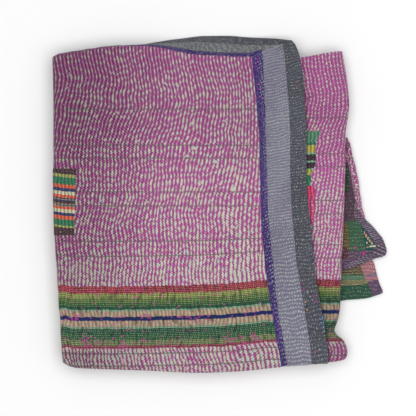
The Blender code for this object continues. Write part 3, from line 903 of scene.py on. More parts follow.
def striped_band(n, rows, length, row, groove, bead):
    """The woven band's colour, and 1 inside it: stripes, pleats in painted light and shade, dotted weft,
    painted groove shade and thread specks.
    """
    jump = n.random((row, 8.0))[0] - 0.5
    at = length + jump * 0.16 + (n.noise((rows * 1.6, length * 0.9)) - 0.5) * 0.30
    colour = stripes(n, at, BAND)
    off_navy = n.step(abs(length - NAVY_LINE), 0.30, 0.55)
    on_peach = n.step(abs(length - PEACH_MIDDLE), 1.1, 1.5, 1.0, 0.0) * off_navy
    pleats = n.sine(rows * FULL_TURN - FULL_TURN / 4 + 2.0 * n.noise((rows * 0.3, 1.0))) * 0.7
    pleats = pleats + (n.noise((rows * 0.6, length * 0.8)) - 0.45) * 5.0
    # Painted highlight on one side of each pleat and painted shade on the other.
    colour = n.blend(n.step(pleats, 0.0, 0.9) * on_peach * 0.45, colour, PLEAT_HIGHLIGHT)
    colour = n.blend(n.step(pleats, -0.1, -0.9) * on_peach * 0.38, colour, PLEAT_SHADE)
    mottle = n.step(n.noise((rows * 2.4, length * 5.0, 2.0)), 0.48, 0.72, 0.0, 0.7)
    colour = n.blend(mottle * on_peach, colour, MOTTLED)

    line = n.sine(length * (FULL_TURN / BAND_WEFT))
    slip = n.random((n.whole(length / BAND_WEFT), 6.0))[0]
    dot = n.step(line, 0.0, 0.9) * n.step(n.sine(rows * (2 * FULL_TURN) + slip * FULL_TURN), -0.1, 0.8)
    dot = dot * n.step(n.noise((rows * 1.3, length * 2.2, 3.0)), 0.34, 0.52) * off_navy
    green = n.step(abs(length - BAND_MIDDLE), 1.6, 2.0)
    colour = n.blend(n.step(line, 0.2, -0.8, 0.0, 0.65) * green, colour, WEFT_DARK)
    colour = n.blend(dot * (green * 0.6 + 0.15), colour, WEFT_DOT)

    streak = n.noise((rows * 1.1, length * 0.5, 5.0), 1.0, 3.0)
    on_red = n.step(at, -16.3, -15.9)
    colour = n.blend(n.step(streak, 0.52, 0.70, 0.0, 0.4) * on_red, colour, STREAK_RED)
    colour = n.over(colour, DARK, streak, 0.48, 0.34, 0.6)
    # Painted shade in the stitched grooves.
    colour = n.blend(groove * (0.48 - bead * 0.3), colour, BAND_GROOVE_SHADE)

    on_navy = n.step(abs(length - SPECK_LINE), 0.35, 0.9, 1.0, 0.0)
    cluster = n.step(n.noise((rows * 0.11, 2.0), 1.0, 1.0), 0.52, 0.62)
    clumps = n.step(n.noise((rows * 0.5, 7.0)), 0.45, 0.6, 0.1, 1.6)
    near_edge = n.step(length, -23.0, -25.0, 0.0, 0.16) * clumps
    share = 0.03 + on_navy * (cluster * 0.42 + 0.04) + near_edge * 1.2
    speck = group(n, thread_specks, rows, length, 1.8, 0.22, share)[0]
    colour = n.blend(speck, colour, SPECK)
    in_band = n.math("LESS_THAN", at, BAND[0][0]) * n.math("GREATER_THAN", at, BAND[-1][0])
    return colour, in_band


# ---------------------------------------------------------------- strips, patches and loose leaves

CROSS_LINES = 0.748  # spacing of the lines along the pale end strip, in cm
# Light flecks, worn dust, and the painted shade in the stitch grooves of the patches and of the loose leaves.
STRAW, DUST, PATCH_GROOVE_SHADE, FLAP_GROOVE_SHADE = rgb(205, 196, 160), rgb(160, 148, 128), rgb(40, 30, 38), rgb(26, 24, 32)


def strip_material(name, colours, base, deep, dash, share, strength, bars, lines, spots):
    """A plain border strip: its cloth, rows of small pale stitches, painted shade in the grooves between its
    puckers and odd knots.

    base and deep name its colours, and what follows is as in STRIPS.
    """
    material, n, shader, spot, rows, length = new_cloth(name)
    base, deep, fleck = colours[base], colours[deep], colours["fleck"]
    pale = n.attribute("pale")
    shown, groove, height, *_, bead, fine = group(
        n, running_stitch, rows, length, pale * 0.4, pale * share, dash, 0.12, 1.0
    )
    colour = n.blend(n.step(n.noise(spot, 14.0, 4.0), 0.4, 0.62, 0.0, 0.4), base, deep)
    loose = n.noise((rows * 1.6, length * (0.8 if bars else 3.6)), 1.0, 3.0)
    colour = n.over(colour, fleck, loose, 0.45, 0.75, 0.4)
    colour = n.over(colour, deep, loose, 0.45, 0.25, 0.5)
    # Painted shade in the stitch grooves, where fine is low.
    colour = n.over(colour, deep, fine, 0.55, 0.1, 0.75)
    cross = n.sine(length * (FULL_TURN / CROSS_LINES) + loose * 0.5)
    colour = n.blend(n.step(cross, -0.5, 0.7) * lines, colour, deep)
    colour = n.blend(shown * strength, colour, fleck)
    # Painted shade in the grooves between the puckers, as strong as bars.
    colour = n.blend(groove * (1.2 - bead * 0.4) * bars, colour, deep)
    colour = dotted(n, spot, colour, spots)
    finish_cloth(n, shader, spot, colour, 1.0, 0.6, height * 0.7, 0.2, 0.0009)
    return material


def patch_material(name, colours, table, dash_colour, share, tilt, middle):
    """A striped patch: stripes along its length, puckers with painted shade in their grooves, and a few
    stitches.

    The stripes climb by tilt cm from one row to the next, and are at their table's places on row middle.
    """
    material, n, shader, spot, rows, length = new_cloth(name)
    ragged = n.noise((rows * 0.9, length * 1.6)) - 0.5
    shown, groove, height, _, row, bead, fine = group(
        n, running_stitch, rows, length, share, share, 0.6, 0.5, 1.0
    )
    jump = n.random((row, 2.0))[0] - 0.5
    colour = stripes(n, length + ragged * 0.14 + jump * 0.10 - (rows - middle) * tilt, table)
    light = n.noise((rows * 2.0, length * 6.0))
    colour = n.over(colour, STRAW, light, 0.5, 0.75, 0.3)
    # Painted shade in the stitch grooves, where fine is low, and in the grooves between the puckers.
    colour = n.over(colour, PATCH_GROOVE_SHADE, fine, 0.45, 0.1, 0.35)
    colour = n.blend(groove * (bead * 0.2 + 0.35), colour, DARK)
    colour = n.blend(shown * 0.8, colour, colours[dash_colour])
    finish_cloth(n, shader, spot, colour, 1.0, 0.6, height * 0.6, 0.2, 0.0007)
    return material


# Stripes of the patches, as V of their UV map (y in cm), far to near.
BROWN, ORANGE, NAVY = (64, 42, 50), (204, 88, 62), (28, 48, 96)
CREAM, GREEN, OLIVE = (192, 186, 156), (34, 112, 80), (150, 152, 88)
LEFT_STRIPES = (
    (6.50, BROWN), (5.34, OLIVE), (4.83, GREEN), (3.52, ORANGE), (2.84, NAVY), (2.26, CREAM),
    (1.65, ORANGE), (1.11, NAVY), (0.92, (136, 128, 104)), (0.70, NAVY), (0.51, BROWN),
    (0.06, (136, 118, 104)), (-0.15, NAVY), (-0.33, (136, 128, 104)), (-0.50, ORANGE), (-0.96, CREAM),
    (-1.56, NAVY), (-2.13, ORANGE), (-2.78, GREEN), (-3.93, OLIVE), (-4.26, BROWN), (-6.00, BROWN),
)
RIGHT_STRIPES = (
    (13.6, (78, 132, 104)), (11.1, (6, 110, 86)), (10.7, (176, 164, 76)), (9.3, (120, 170, 142)),
    (9.0, (48, 26, 46)), (7.85, (120, 170, 142)), (7.55, (48, 26, 46)), (6.45, (120, 170, 142)),
    (6.3, (164, 166, 72)), (5.3, (14, 124, 82)), (3.0, (14, 124, 82)),
)
PINK_STRIPES = ((4.0, (206, 54, 108)), (1.0, (194, 66, 120)), (-2.6, (166, 54, 106)), (-4.2, (166, 54, 106)))

FLAP_ROW = 6.6  # spacing of the stitch rows across the loose leaves, in mm
FLAP_WEFT = 4.0  # and of the weft lines


def flap_material(name, colours, ground, regions):
    """Patchwork on the reverse: pieces of old cloth, each with its outline and colours, and stitches.

    A region is its outline in mm, its colour and a second colour for weft lines through it. Weft
    lines and stitches cross the leaf from side to side.
    """
    material, n, shader, spot, *_ = new_cloth(name)
    x, y = design_place(n, spot)
    waving = y + n.noise((x * 0.05, y * 0.03)) * 9.0
    line = n.sine(waving * (FULL_TURN / FLAP_WEFT))
    colour = rgb(*ground)
    for corners, paint, second in regions:
        old_cloth = rgb(*paint)
        if second:
            weft = n.step(line + (n.noise((x * 0.12, y * 0.25)) - 0.5) * 2.0, -0.3, 0.5)
            old_cloth = n.blend(weft, old_cloth, rgb(*second))
        colour = n.blend(inside(n, x, y, corners), colour, old_cloth)
    shown, _, height, *_, fine = group(
        n, running_stitch, waving / FLAP_ROW, x / 10.0, 0.02, 0.5, 0.36, 0.4, 0.8
    )
    worn = n.noise(spot, 300.0, 3.0)
    colour = n.over(colour, DUST, worn, 0.5, 0.75, 0.2)
    # Painted shade in the stitch grooves, where fine is low.
    colour = n.over(colour, FLAP_GROOVE_SHADE, fine, 0.45, 0.0, 0.45)
    colour = n.blend(shown * 0.36, colour, colours["sage"])
    colour = dotted(n, spot, colour, FLAP_THREADS)
    finish_cloth(n, shader, spot, colour, 0.95, 0.7, height * 0.7, 0.25, 0.0009)
    return material


# Patchwork of the loose leaves: outline in mm, colour, colour of its weft lines.
UPPER_FLAP = (
    (((225, 64), (234, 60), (236, 25), (225, 20)), (30, 62, 42), None),
    (((219, 80), (231, 80), (231, 66), (219, 62)), (58, 56, 58), None),
    (((219, -33), (233, -33), (237, -84), (219, -84)), (112, 98, 56), (84, 66, 46)),
    (((233, -30), (256, -28), (262, -44), (268, -84), (237, -85)), (56, 92, 70), None),
    (((258, -40), (270, -46), (296, -82), (288, -90), (268, -90)), (16, 74, 74), None),
    (((215, -88), (237, -85), (262, -84), (310, -80), (300, -130), (215, -130)), (98, 76, 100), (84, 62, 90)),
    (((219, -78), (231, -78), (236, -96), (219, -101)), (98, 42, 58), (70, 52, 62)),
)
LOWER_FLAP = (
    (((215, -100), (256, -105), (266, -131), (215, -133)), (122, 104, 74), (62, 58, 50)),
    (((215, -128), (270, -128), (268, -138), (215, -140)), (64, 108, 84), (104, 128, 102)),
    (((215, -139), (268, -137), (271, -146), (215, -149)), (150, 132, 94), (86, 100, 70)),
    (((215, -148), (271, -145), (284, -172), (215, -180)), (42, 82, 64), None),
    (((268, -140), (294, -134), (304, -168), (282, -172)), (98, 76, 104), (88, 66, 96)),
    (((252, -100), (290, -96), (292, -137), (267, -140)), (176, 88, 126), (150, 134, 112)),
    (((264, -128), (290, -123), (292, -129), (268, -132)), (124, 104, 128), None),
)
# Threads on them: a sewn sprig, knots and spots, as x, y, half width and half height in mm, colour.
PEACH, PALE, PINK = (196, 152, 116), (206, 200, 172), (186, 44, 134)
FLAP_THREADS = (
    (263.5, -52, 1.2, 3.4, PEACH), (266.5, -57, 1.6, 3.2, PEACH), (270, -62, 1.8, 3.0, PEACH),
    (273.5, -66.5, 1.9, 2.8, PEACH), (277, -71, 2.0, 2.6, PEACH), (281, -76, 3.8, 1.8, PALE),
    (275, -76.5, 3.0, 1.5, PALE), (269, -78, 2.8, 1.4, (190, 120, 100)), (265, -54, 1.2, 2.2, (176, 52, 66)),
    (284, -81.5, 1.6, 1.8, (170, 52, 70)), (268, -70, 1.2, 1.8, PALE), (247, -78.5, 2.2, 2.2, PINK),
    (262, -89.5, 3.0, 2.6, PINK), (227, 18, 1.3, 3.0, (120, 32, 84)), (255, -98, 4.0, 0.9, PALE),
)


# ---------------------------------------------------------------- settings

# Colours of the cloth and thread: what each is for, and its display colour.
COLOURS = {
    "magenta": ("The field's cloth between the rows", 168, 78, 142),
    # Partly painted highlight on the ridges between the stitch rows, partly the cloth's small stitches.
    "bright": ("Flecks in the field's cloth", 198, 138, 178),
    "dusky": ("Worn parts of the field", 140, 76, 120),
    # Painted shade in the stitched grooves of the field.
    "groove": ("The field's cloth in the stitched grooves", 66, 0, 54),
    "sage": ("The pale running stitch", 184, 195, 166),
    "mint": ("Cooler parts of the pale stitch", 172, 194, 176),
    "cream": ("The lightest stitches", 212, 216, 188),
    "teal": ("Spots of green under the stitches", 50, 112, 90),
    "weft": ("Thin lines across the field", 58, 90, 60),
    "purple": ("The narrow border strip", 62, 36, 114),
    # The deep colours mottle their strips and are also the painted shade in their grooves.
    "purple_deep": ("Puckers of the narrow border strip", 42, 20, 76),
    "lavender": ("The wide border strip", 127, 126, 140),
    "lavender_deep": ("Puckers of the wide border strip", 88, 82, 108),
    "grey": ("The outer border strip", 78, 80, 93),
    "grey_deep": ("Puckers of the outer border strip", 46, 47, 56),
    "pale_strip": ("The wide strip at the far end", 112, 117, 112),
    "fleck": ("Small stitches on the border", 176, 182, 172),
    "binding": ("The strip round the loose corner", 122, 104, 128),
    # Also the painted shade in the binding's grooves.
    "binding_deep": ("Puckers of the binding", 38, 28, 44),
    "floor": ("The floor under the quilt", 234, 234, 234),
}


def colour_setting(name, description, *display):
    return bpy.props.FloatVectorProperty(
        name=name.replace("_", " ").capitalize(), description=description, default=rgb(*display),
        subtype="COLOR", size=4, min=0, max=1,
    )


class QuiltColours(bpy.types.PropertyGroup):
    """Colours of the cloth and thread."""

    __annotations__ = {name: colour_setting(name, *about) for name, about in COLOURS.items()}


class QuiltSizes(bpy.types.PropertyGroup):
    """Sizes a user may change."""

    row_pitch: bpy.props.FloatProperty(
        name="Row spacing", description="From one stitch row to the next", unit="LENGTH",
        default=0.0066, min=0.003, max=0.02,
    )
    ridge_height: bpy.props.FloatProperty(
        name="Ridge height", description="Height of the puckers between rows", unit="LENGTH",
        default=0.0006, min=0, max=0.0008,
    )
    patch_thickness: bpy.props.FloatProperty(
        name="Patch thickness", description="Thickness of a sewn-on patch", unit="LENGTH",
        default=0.0009, min=0.0004, max=0.0015,
    )
    camera_height: bpy.props.FloatProperty(
        name="Camera height", description="Camera above the floor", unit="LENGTH",
        default=5.0, min=1.0, max=10.0,
    )
    light_power: bpy.props.FloatProperty(
        name="Light power", description="Power of the soft light overhead", unit="POWER",
        default=360.0, min=0,
    )


def settings():
    """The sizes in metres and watts, and the colours as tuples."""
    scene = bpy.context.scene
    return scene.quilt_sizes, {name: tuple(getattr(scene.quilt_colours, name)) for name in COLOURS}


# ---------------------------------------------------------------- the looks of each kind of cloth

# Odd threads on the side border: x, y, half width and half height in mm, colour.
KNOT, OCHRE = (190, 44, 130), (202, 140, 60)
PURPLE_THREADS = (
    (67, 261, 1.4, 1.2, KNOT), (67.5, 255, 1.3, 1.1, KNOT), (66.5, 248, 1.2, 1.2, KNOT),
    (70, 216, 1.7, 1.2, KNOT), (71.5, 207.5, 1.3, 1.2, KNOT), (74.5, 193.5, 1.1, 1.1, KNOT),
)
LAVENDER_THREADS = ((124, -11, 1.2, 1.1, KNOT), (127, 92, 0.9, 0.9, KNOT))
GREY_THREADS = (
    (139, 220.5, 1.1, 1.4, KNOT), (140.5, 212, 1.0, 1.1, KNOT), (152, -144, 1.0, 2.4, KNOT),
    (152.5, -153, 1.0, 2.4, KNOT), (170, -165, 1.0, 1.8, KNOT), (174.5, -175, 1.6, 1.8, KNOT),
    (168.5, -126, 0.8, 2.0, KNOT), (173, -265, 0.9, 2.6, KNOT), (172.5, -272, 0.9, 1.4, KNOT),
    (155, -176, 1.7, 1.4, (196, 170, 120)), (157.5, -183, 1.9, 2.2, (24, 36, 84)),
    (158.5, -190.5, 1.5, 1.2, OCHRE), (153, -172, 1.0, 0.8, OCHRE),
    (185.5, -204, 0.8, 4.5, (70, 140, 196)), (187, -213, 0.8, 5.0, (50, 120, 184)),
    (188.5, -222, 0.8, 4.5, (60, 130, 190)),
)
# And on the second panel: a crease painted as shade with a thread in it, a pale knot, a worn spot and two
# spots of painted shade.
CREASE_SHADE_AND_THREAD, SHADED = (104, 84, 112), (66, 34, 66)
SECOND_THREADS = (
    (158.5, 190, 3.4, 1.6, CREASE_SHADE_AND_THREAD), (165, 193.5, 3.4, 1.6, CREASE_SHADE_AND_THREAD), (171.5, 197, 3.4, 1.6, CREASE_SHADE_AND_THREAD),
    (159, 159, 2.4, 3.0, (196, 190, 160)), (169, -43, 2.6, 2.8, (96, 122, 112)),
    (233, 187, 1.6, 3.2, SHADED), (234, 179, 1.4, 3.2, SHADED),
)

# The field: what field_material takes after the colours, in its order.
FIELDS = {
    "quilted_field": (1.2, 0.72, 0.72, 0.84, 1 / 7, 0.0, None),
    "second_panel": (0.76, 0.6, 0.42, 0.8, -1 / 7, 1.5, SECOND_THREADS),
    "curled_edge": (0.62, 0.8, 1.0, 0.8, 0.0, 0.0, None),
}
# Border strips: their cloth's colour, the darker one that mottles it and is the painted shade of its
# puckers, the spacing of its small stitches in cm, the share of them that is whole for the paleness, how
# strongly they show, how strong the painted shade in the grooves between the puckers is and how dark the
# lines across them are, and odd threads.
STRIPS = {
    "purple_strip": ("purple", "purple_deep", 0.36, 2.4, 0.8, 0.0, 0.0, PURPLE_THREADS),
    "lavender_strip": ("lavender", "lavender_deep", 0.44, 4.0, 0.68, 0.0, 0.0, LAVENDER_THREADS),
    "grey_strip": ("grey", "grey_deep", 0.44, 1.3, 0.85, 0.0, 0.0, GREY_THREADS),
    "end_purple": ("purple", "purple_deep", 0.50, 2.4, 0.6, 0.8, 0.0, None),
    "end_pale": ("pale_strip", "grey", 0.60, 1.6, 0.8, 0.8, 0.5, None),
    "end_grey": ("grey", "grey_deep", 0.60, 1.6, 0.6, 0.7, 0.0, None),
    "binding": ("binding", "binding_deep", 0.36, 1.6, 0.7, 0.5, 0.0, None),
}
# Patches: their stripes, the colour and share of their stitches, the tilt and the row that it starts from.
PATCHES = {
    "striped_patch": (LEFT_STRIPES, "cream", 0.03, 0.075, 53.0),
    "green_patch": (RIGHT_STRIPES, "mint", 0.0, 0.0, 0.0),
    "pink_patch": (PINK_STRIPES, "cream", 0.15, 0.0, 0.0),
}
# Loose leaves: the cloth between their pieces, and the pieces.
FLAPS = {
    "upper_flap": ((78, 56, 72), UPPER_FLAP),
    "lower_flap": ((98, 84, 60), LOWER_FLAP),
}
LOOKS = {field_material: FIELDS, strip_material: STRIPS, patch_material: PATCHES, flap_material: FLAPS}


def cloth(kind):
    """The material of one kind of cloth, built the first time that a piece is made of it."""
    name = kind + "_cloth"
    build, table = next(look for look in LOOKS.items() if kind in look[1])
    return bpy.data.materials.get(name) or build(name, settings()[1], *table[kind])


# ---------------------------------------------------------------- the pieces


def spaced(*runs):
    """Places in runs of (start, end, count), each run starting where the one before it ends."""
    return np.append(np.concatenate([np.linspace(*run)[:-1] for run in runs]), runs[-1][1])


def raised(back, rise):
    """The face of a flat piece: its back grid, rise mm higher."""
    return back + rise[..., None] * np.array([0, 0, 1.0])


def field_cloth(name, lengths, share, leaf, sizes, kind):
    """A face cloth over part of the field, from the crease at the near fold to the far end.

    lengths are where it starts and ends along the serpentine, and share is where its points lie along
    the stitch rows. Its columns follow the rows, four to a row, and its points rise between them.
    """
    pitch = sizes.row_pitch / MM
    first, last = (round(4 * length / pitch) for length in lengths)
    length = np.arange(first, last + 1)[:, None] * pitch / 4
    start = walk_at(length)
    near, far = -leaf * (QUARTER + CREASE), leaf * length_of(start, leaf)
    along = near + (far - near) * share
    y = near_middle(start) + np.abs(along) - QUARTER
    hold = smooth(length / 80) * smooth((np.abs(far) - np.abs(along)) / 70)
    wander = sway(length, y) * np.where(along * leaf > 0, hold, smooth(length / 80))
    walk = walk_at(np.clip(length + wander, 0, KNOTS[-1]))
    base = cloth_point(walk, along, OUTER)
    rows = length / pitch
    pucker = 0.8 + 0.3 * drift(length, y, 15, 41) + 0.2 * drift(length, y, 45, 42)
    height = sizes.ridge_height / MM * ridge(rows) * pucker
    normal = outward(base)
    face, back = base + height[..., None] * normal, base - COVER * normal
    cm = (y - band_rise(base[..., 0])) / 10
    make_cloth(name, face, back, rows, cm, paleness(base[..., 0], y), kind)


COLUMN_SPACING = (12, 4, 12, 4, 12, 1.65, 10)  # mm between the layers' points in each part of the serpentine
ROW_SHARE = spaced((0, 0.18, 9), (0.18, 0.44, 44), (0.44, 1, 25))  # closest along the left patch


def quilt_layers(sizes):
    """The whole serpentine of eight layers, thinner where a face cloth lies over it."""
    counts = [int(part / spacing) + 1 for part, spacing in zip(PART_LENGTHS, COLUMN_SPACING)]
    length = spaced(*zip(KNOTS[:-1], KNOTS[1:], counts))[:, None]
    walk = walk_at(length)
    turn = QUARTER * np.linspace(-1, 1, 9)[None, 1:-1] + 0 * walk
    outer = QUARTER + (length_of(walk, 1) - QUARTER) * ROW_SHARE
    inner = -QUARTER - (length_of(walk, -1) - QUARTER) * ROW_SHARE[::-1]
    along = np.concatenate([inner, turn, outer], 1)
    y = near_middle(walk) + np.abs(along) - QUARTER
    covered_top = smooth((2.02 - walk) / 0.04) * smooth((along + QUARTER + CREASE) / 4)
    covered_right = smooth((walk - 2.8) / 0.02) * smooth((4.02 - walk) / 0.03) * smooth((QUARTER - along) / 4)
    radius = OUTER - DRAWN_IN * np.maximum(covered_top, covered_right)
    rows = length / (sizes.row_pitch / MM)
    left_fold = (walk > 5) & (walk < 6)
    radius = radius + np.where(left_fold, sizes.ridge_height / MM * ridge(rows), 0)
    face, back = cloth_point(walk, along, radius), cloth_point(walk, along, INNER)
    cm, pale = (y - band_rise(face[..., 0])) / 10, paleness(face[..., 0], y)
    make_cloth("quilt_layers", face, back, rows, cm, pale, "quilted_field", ("quilt_cloth",))


STRIP_ROW = 5.2  # spacing of the rows of small stitches across the side border, in mm
WIDER_ROW = 2.0  # what is added to it towards the near fold
END_ROW = 4.2  # and the spacing across the end border
STRIP_COLUMN = 1.9  # mm between the points across a strip of the side border


def side_line(column, corner, inset, share):
    """One line of the side border from under the near fold up to the mitre, at shares of its length."""
    _, corner_y, corner_z, _ = fall_line(corner, 1.0)
    middle = curve(across(column, FOLD_Y), NEAR["x"], NEAR["y"]) + OUTER
    first, last = -OUTER * np.pi / 3, QUARTER + corner_y - SEAM - 0.1 - middle
    along = first + (last - first) * share
    angle = np.clip(along / OUTER, -np.pi / 2, np.pi / 2)
    y = middle - OUTER * np.cos(angle) + np.maximum(along - QUARTER, 0)
    part = np.clip((y - SIDE_BROW) / (corner_y - SIDE_BROW), 0, 1)
    z = TOP - OUTER + OUTER * np.sin(angle) - (TOP - corner_z) * part**2
    return np.stack([across(column, y) + inset, y, z], -1), middle + along - QUARTER


def make_strip(node, base, rows, length, part, pale, kind):
    """A border strip as thick as the cloth: ridges between its stitch rows, fewer lumps near its seams."""
    edge = smooth(part / 0.08) * smooth((1 - part) / 0.08)
    x, y = base[..., 0], base[..., 1] + base[..., 2]
    lumps = 0.3 * drift(x, y, 9, 51) + 0.3 * drift(x, y, 22, 52)
    height = 0.4 * ridge(rows) * edge + edge * lumps - 0.35
    normal = outward(base)
    face, back = base + height[..., None] * normal, base - LEAF * normal
    make_cloth(node + "_cloth", face, back, rows, length, pale, kind, (node,))


def side_strip(node, columns, corner, slot, pale):
    """A strip of the side border between two lines of ACROSS."""
    share = np.linspace(0, 1, 620)
    first, y = side_line(columns[0], corner, 0, share)
    last, _ = side_line(columns[1], corner + 1, -SEAM if columns[1] != "edge" else 0, share)
    width = FLAT[node + "_cloth"][0] / MM
    part = np.linspace(0, 1, int(width / STRIP_COLUMN) + 2)[:, None]
    base = first + (last - first) * part[..., None]
    pitch = STRIP_ROW + WIDER_ROW * smooth((-y - 20) / 130)
    rows = np.cumsum(np.gradient(y) / pitch) + 0.25 * drift(base[..., 0], y, 34, 53)
    pale = pale[0] + (pale[1] - pale[0]) * smooth((part - 0.35) / 0.4)
    make_strip(node, base, rows, part * width / 10 + 0 * y, part, pale, slot)


def end_strip(node, line, kind, pale):
    """A strip of the end border between two of its lines, bent to follow the fall of the cloth."""
    share = np.linspace(0, 1, 440)
    x0, y0, z0, lean0 = fall_line(line, share)
    x1, y1, z1, lean1 = fall_line(line + 1, share)
    width = np.hypot(y1 - y0, z1 - z0)
    part = np.linspace(0, 1, 14)[:, None]
    part = SEAM / width + (1 - SEAM / width) * part
    y, z, _ = bend((y0, z0), (y1, z1), lean0, lean1, part)
    base = np.stack([x0 + (x1 - x0) * part, y, z], -1)
    rows = (x0 + 1.2 * drift(x0, y, 40, 54)) / END_ROW
    make_strip(node, base, rows, part * width.mean() / 10, part, pale, kind)


def left_patch(sizes):
    """The striped patch over the left fold."""
    y = np.linspace(LEFT_PATCH["y"][-1], LEFT_PATCH["y"][0], 60)[None, :]
    edge = curve(y, LEFT_PATCH["y"], LEFT_PATCH["share"]) + 0.002 * drift(y, 0, 20, 71)
    walk = edge + (LEFT_PATCH["end"] - edge) * np.linspace(0, 1, 48)[:, None]
    along = QUARTER + y - near_middle(walk)
    base = cloth_point(walk, along, OUTER + SEAM)
    length = np.interp(walk, np.arange(len(KNOTS)), KNOTS)
    rows = length / (sizes.row_pitch / MM)
    height = sizes.patch_thickness / MM + 0.12 * ridge(rows) + 0.1 * drift(length, y, 12, 72)
    face = base + height[..., None] * outward(base)
    make_cloth("patch_left", face, base, rows, y / 10, 0.3, "striped_patch", ("left_patch",))


def right_patch(node, edge, sizes, slot):
    """A patch on the second panel, from under the top panel's edge to its own right-hand edge."""
    y = np.linspace(edge["y"][-1], edge["y"][0], 50)[None, :]
    start = across("edge", y) - PATCH_TUCK
    end = curve(y, edge["y"], edge["x"]) + 0.5 * drift(y, 0, 14, 81)
    x = start + (end - start) * np.linspace(0, 1, 24)[:, None]
    height = TOP - 2 * PITCH + SEAM
    back = np.stack([x, y + 0 * x, height + 0 * x], -1)
    face = raised(back, sizes.patch_thickness / MM + 0.12 * drift(x, y, 8, 82))
    rows = x / (sizes.row_pitch / MM)
    make_cloth("patch_" + node, face, back, rows, y / 10 + 0 * x, 0.3, slot, (node,))


FLAP_TUCK = 26.0  # the patchwork starts this far under the right fold
FLAP_RIDGE = 4.4  # spacing of the ridges across a loose leaf, in mm


def flap_face(leaf, far, near, height):
    """The patchwork on a loose leaf: from under the right fold to just inside the leaf's end.

    The upper leaf's ends at FACE_EDGE where its edge is curled, and sinks with it.
    """
    y = np.linspace(near, far, 150)[None, :]
    start, end = across("right", y) - FLAP_TUCK, across(leaf, y) - 0.1
    if leaf == "upper":
        end = np.minimum(end, curve(y, FACE_EDGE["y"], FACE_EDGE["x"]))
    x = start + (np.maximum(end, start + 2) - start) * np.linspace(0, 1, 70)[:, None]
    sunk = droop(x, y) if leaf == "upper" else 0
    back = np.stack([x, y + 0 * x, height - sunk + 0 * x], -1)
    rise = 0.75 + 0.25 * ridge(y / FLAP_RIDGE) + 0.15 * drift(x, y, 12, 91) + 0.1 * drift(x, y, 5, 92)
    kind = leaf + "_flap"
    make_cloth(kind + "_face", raised(back, rise), back, x / FLAP_ROW, y / 10 + 0 * x, 0.2, kind)


CURL_ANGLES = (178, -75)  # where the curled edge starts, inside its roll, and ends, in degrees


def curled_edge(sizes):
    """The upper leaf's edge, rolled over so that its right face shows.

    At each y of CURL it is an arc of an ellipse about (x, z), half wide sideways and at most as much
    as the cloth's thickness up, from the leaf inside the roll, over the top and round to the
    underside. It is 2 mm thick at most.
    """
    y = np.linspace(CURL["y"][-1], CURL["y"][0], 190)[None, :]
    middle = curve(y, CURL["y"], CURL["x"]) + 0.4 * drift(y, 0, 26, 96)
    wide = curve(y, CURL["y"], CURL["half"])
    high = np.minimum(LEAF, wide)
    angle = np.radians(np.linspace(*CURL_ANGLES, 30))[:, None]
    rows = (wide * (np.radians(CURL_ANGLES[0]) - angle) + 40) / (sizes.row_pitch / MM)
    rows = rows + 0.4 * drift(y, angle * wide, 16, 98)
    ridges = sizes.ridge_height / MM * ridge(rows + 0.25 * drift(y, rows, 18, 97))
    rest = PITCH + LEAF - droop(middle, y) - 0.4

    def arc(grown):
        x, z = middle + (wide + grown) * np.cos(angle), rest + (high + grown) * np.sin(angle)
        return np.stack(np.broadcast_arrays(x, y, z), -1)

    face, back = arc(ridges), arc(-np.minimum(2.0, wide * 0.45))
    make_cloth("curled_edge", face, back, 1.3 * rows, y / 10 + 0 * rows, 0.5, "curled_edge")


BINDING_ROW = 6.4  # spacing of the binding's puckers along its outer line, in mm


def flap_binding():
    """The strip round the corner of the upper flap, between the field's end and the free edge.

    Its inner line runs along the leaf's end and its outer line through BINDING, both by share of the
    way to the corner and on from it, so its puckers cross it and turn the corner with it.
    """
    share = np.linspace(0, 1, 170)[None, :]
    inner_y = np.interp(share, (0, BINDING["corner"], 1), BINDING["inner_y"])
    inner_x = across("upper", inner_y) + SEAM
    at = np.linspace(0, 1, len(BINDING["x"]))
    outer_x, outer_y = curve(share, at, BINDING["x"]), curve(share, at, BINDING["y"])
    part = np.linspace(0, 1, 22)[:, None]
    x, y = inner_x + (outer_x - inner_x) * part, inner_y + (outer_y - inner_y) * part
    back = np.stack([x, y, PITCH - droop(x, y)], -1)
    length = np.concatenate([[0], np.cumsum(np.hypot(np.diff(outer_x[0]), np.diff(outer_y[0])))])
    rows = length / BINDING_ROW + 0 * part
    plump = np.sqrt(np.clip(1 - (2 * part - 1) ** 4, 0, 1))
    rise = LEAF * (0.75 + 0.25 * plump) + 0.35 * ridge(rows) * plump + 0.2 * drift(x, y, 7, 95)
    cm = 1.2 * part + 0 * x
    make_cloth("binding", raised(back, rise), back, rows, cm, 0.3, "binding", ("flap_binding",))


# ---------------------------------------------------------------- the stage

PICTURE = 0.7488  # width of the picture at the top of the stack, in metres
PICTURE_MIDDLE = (-20.25, -6.9, 0.0)  # in the stack's own mm
FLOOR_REACH = 12.0  # half the floor's width, in metres
FLOOR_GAP = 0.0004  # the floor lies this far under the cloth
KEY_SHARE = 0.015  # power of the small side light, as a share of the one overhead
SKY_STRENGTH = 0.45


def pale_floor(colour):
    """A wide plain floor just under the cloth."""
    material = bpy.data.materials.new("pale_floor")
    material.use_nodes = True
    shader = material.node_tree.nodes["Principled BSDF"]
    shader.inputs["Base Color"].default_value = colour
    shader.inputs["Roughness"].default_value = 0.9
    mesh = bpy.data.meshes.new("floor")
    corners = [(x * FLOOR_REACH, y * FLOOR_REACH, 0) for x, y in ((-1, -1), (1, -1), (1, 1), (-1, 1))]
    mesh.from_pydata(corners, [], [(0, 1, 2, 3)])
    mesh.materials.append(material)
    floor = bpy.data.objects.new("floor", mesh)
    floor.location.z = -FLOOR_GAP
    bpy.context.scene.collection.objects.link(floor)


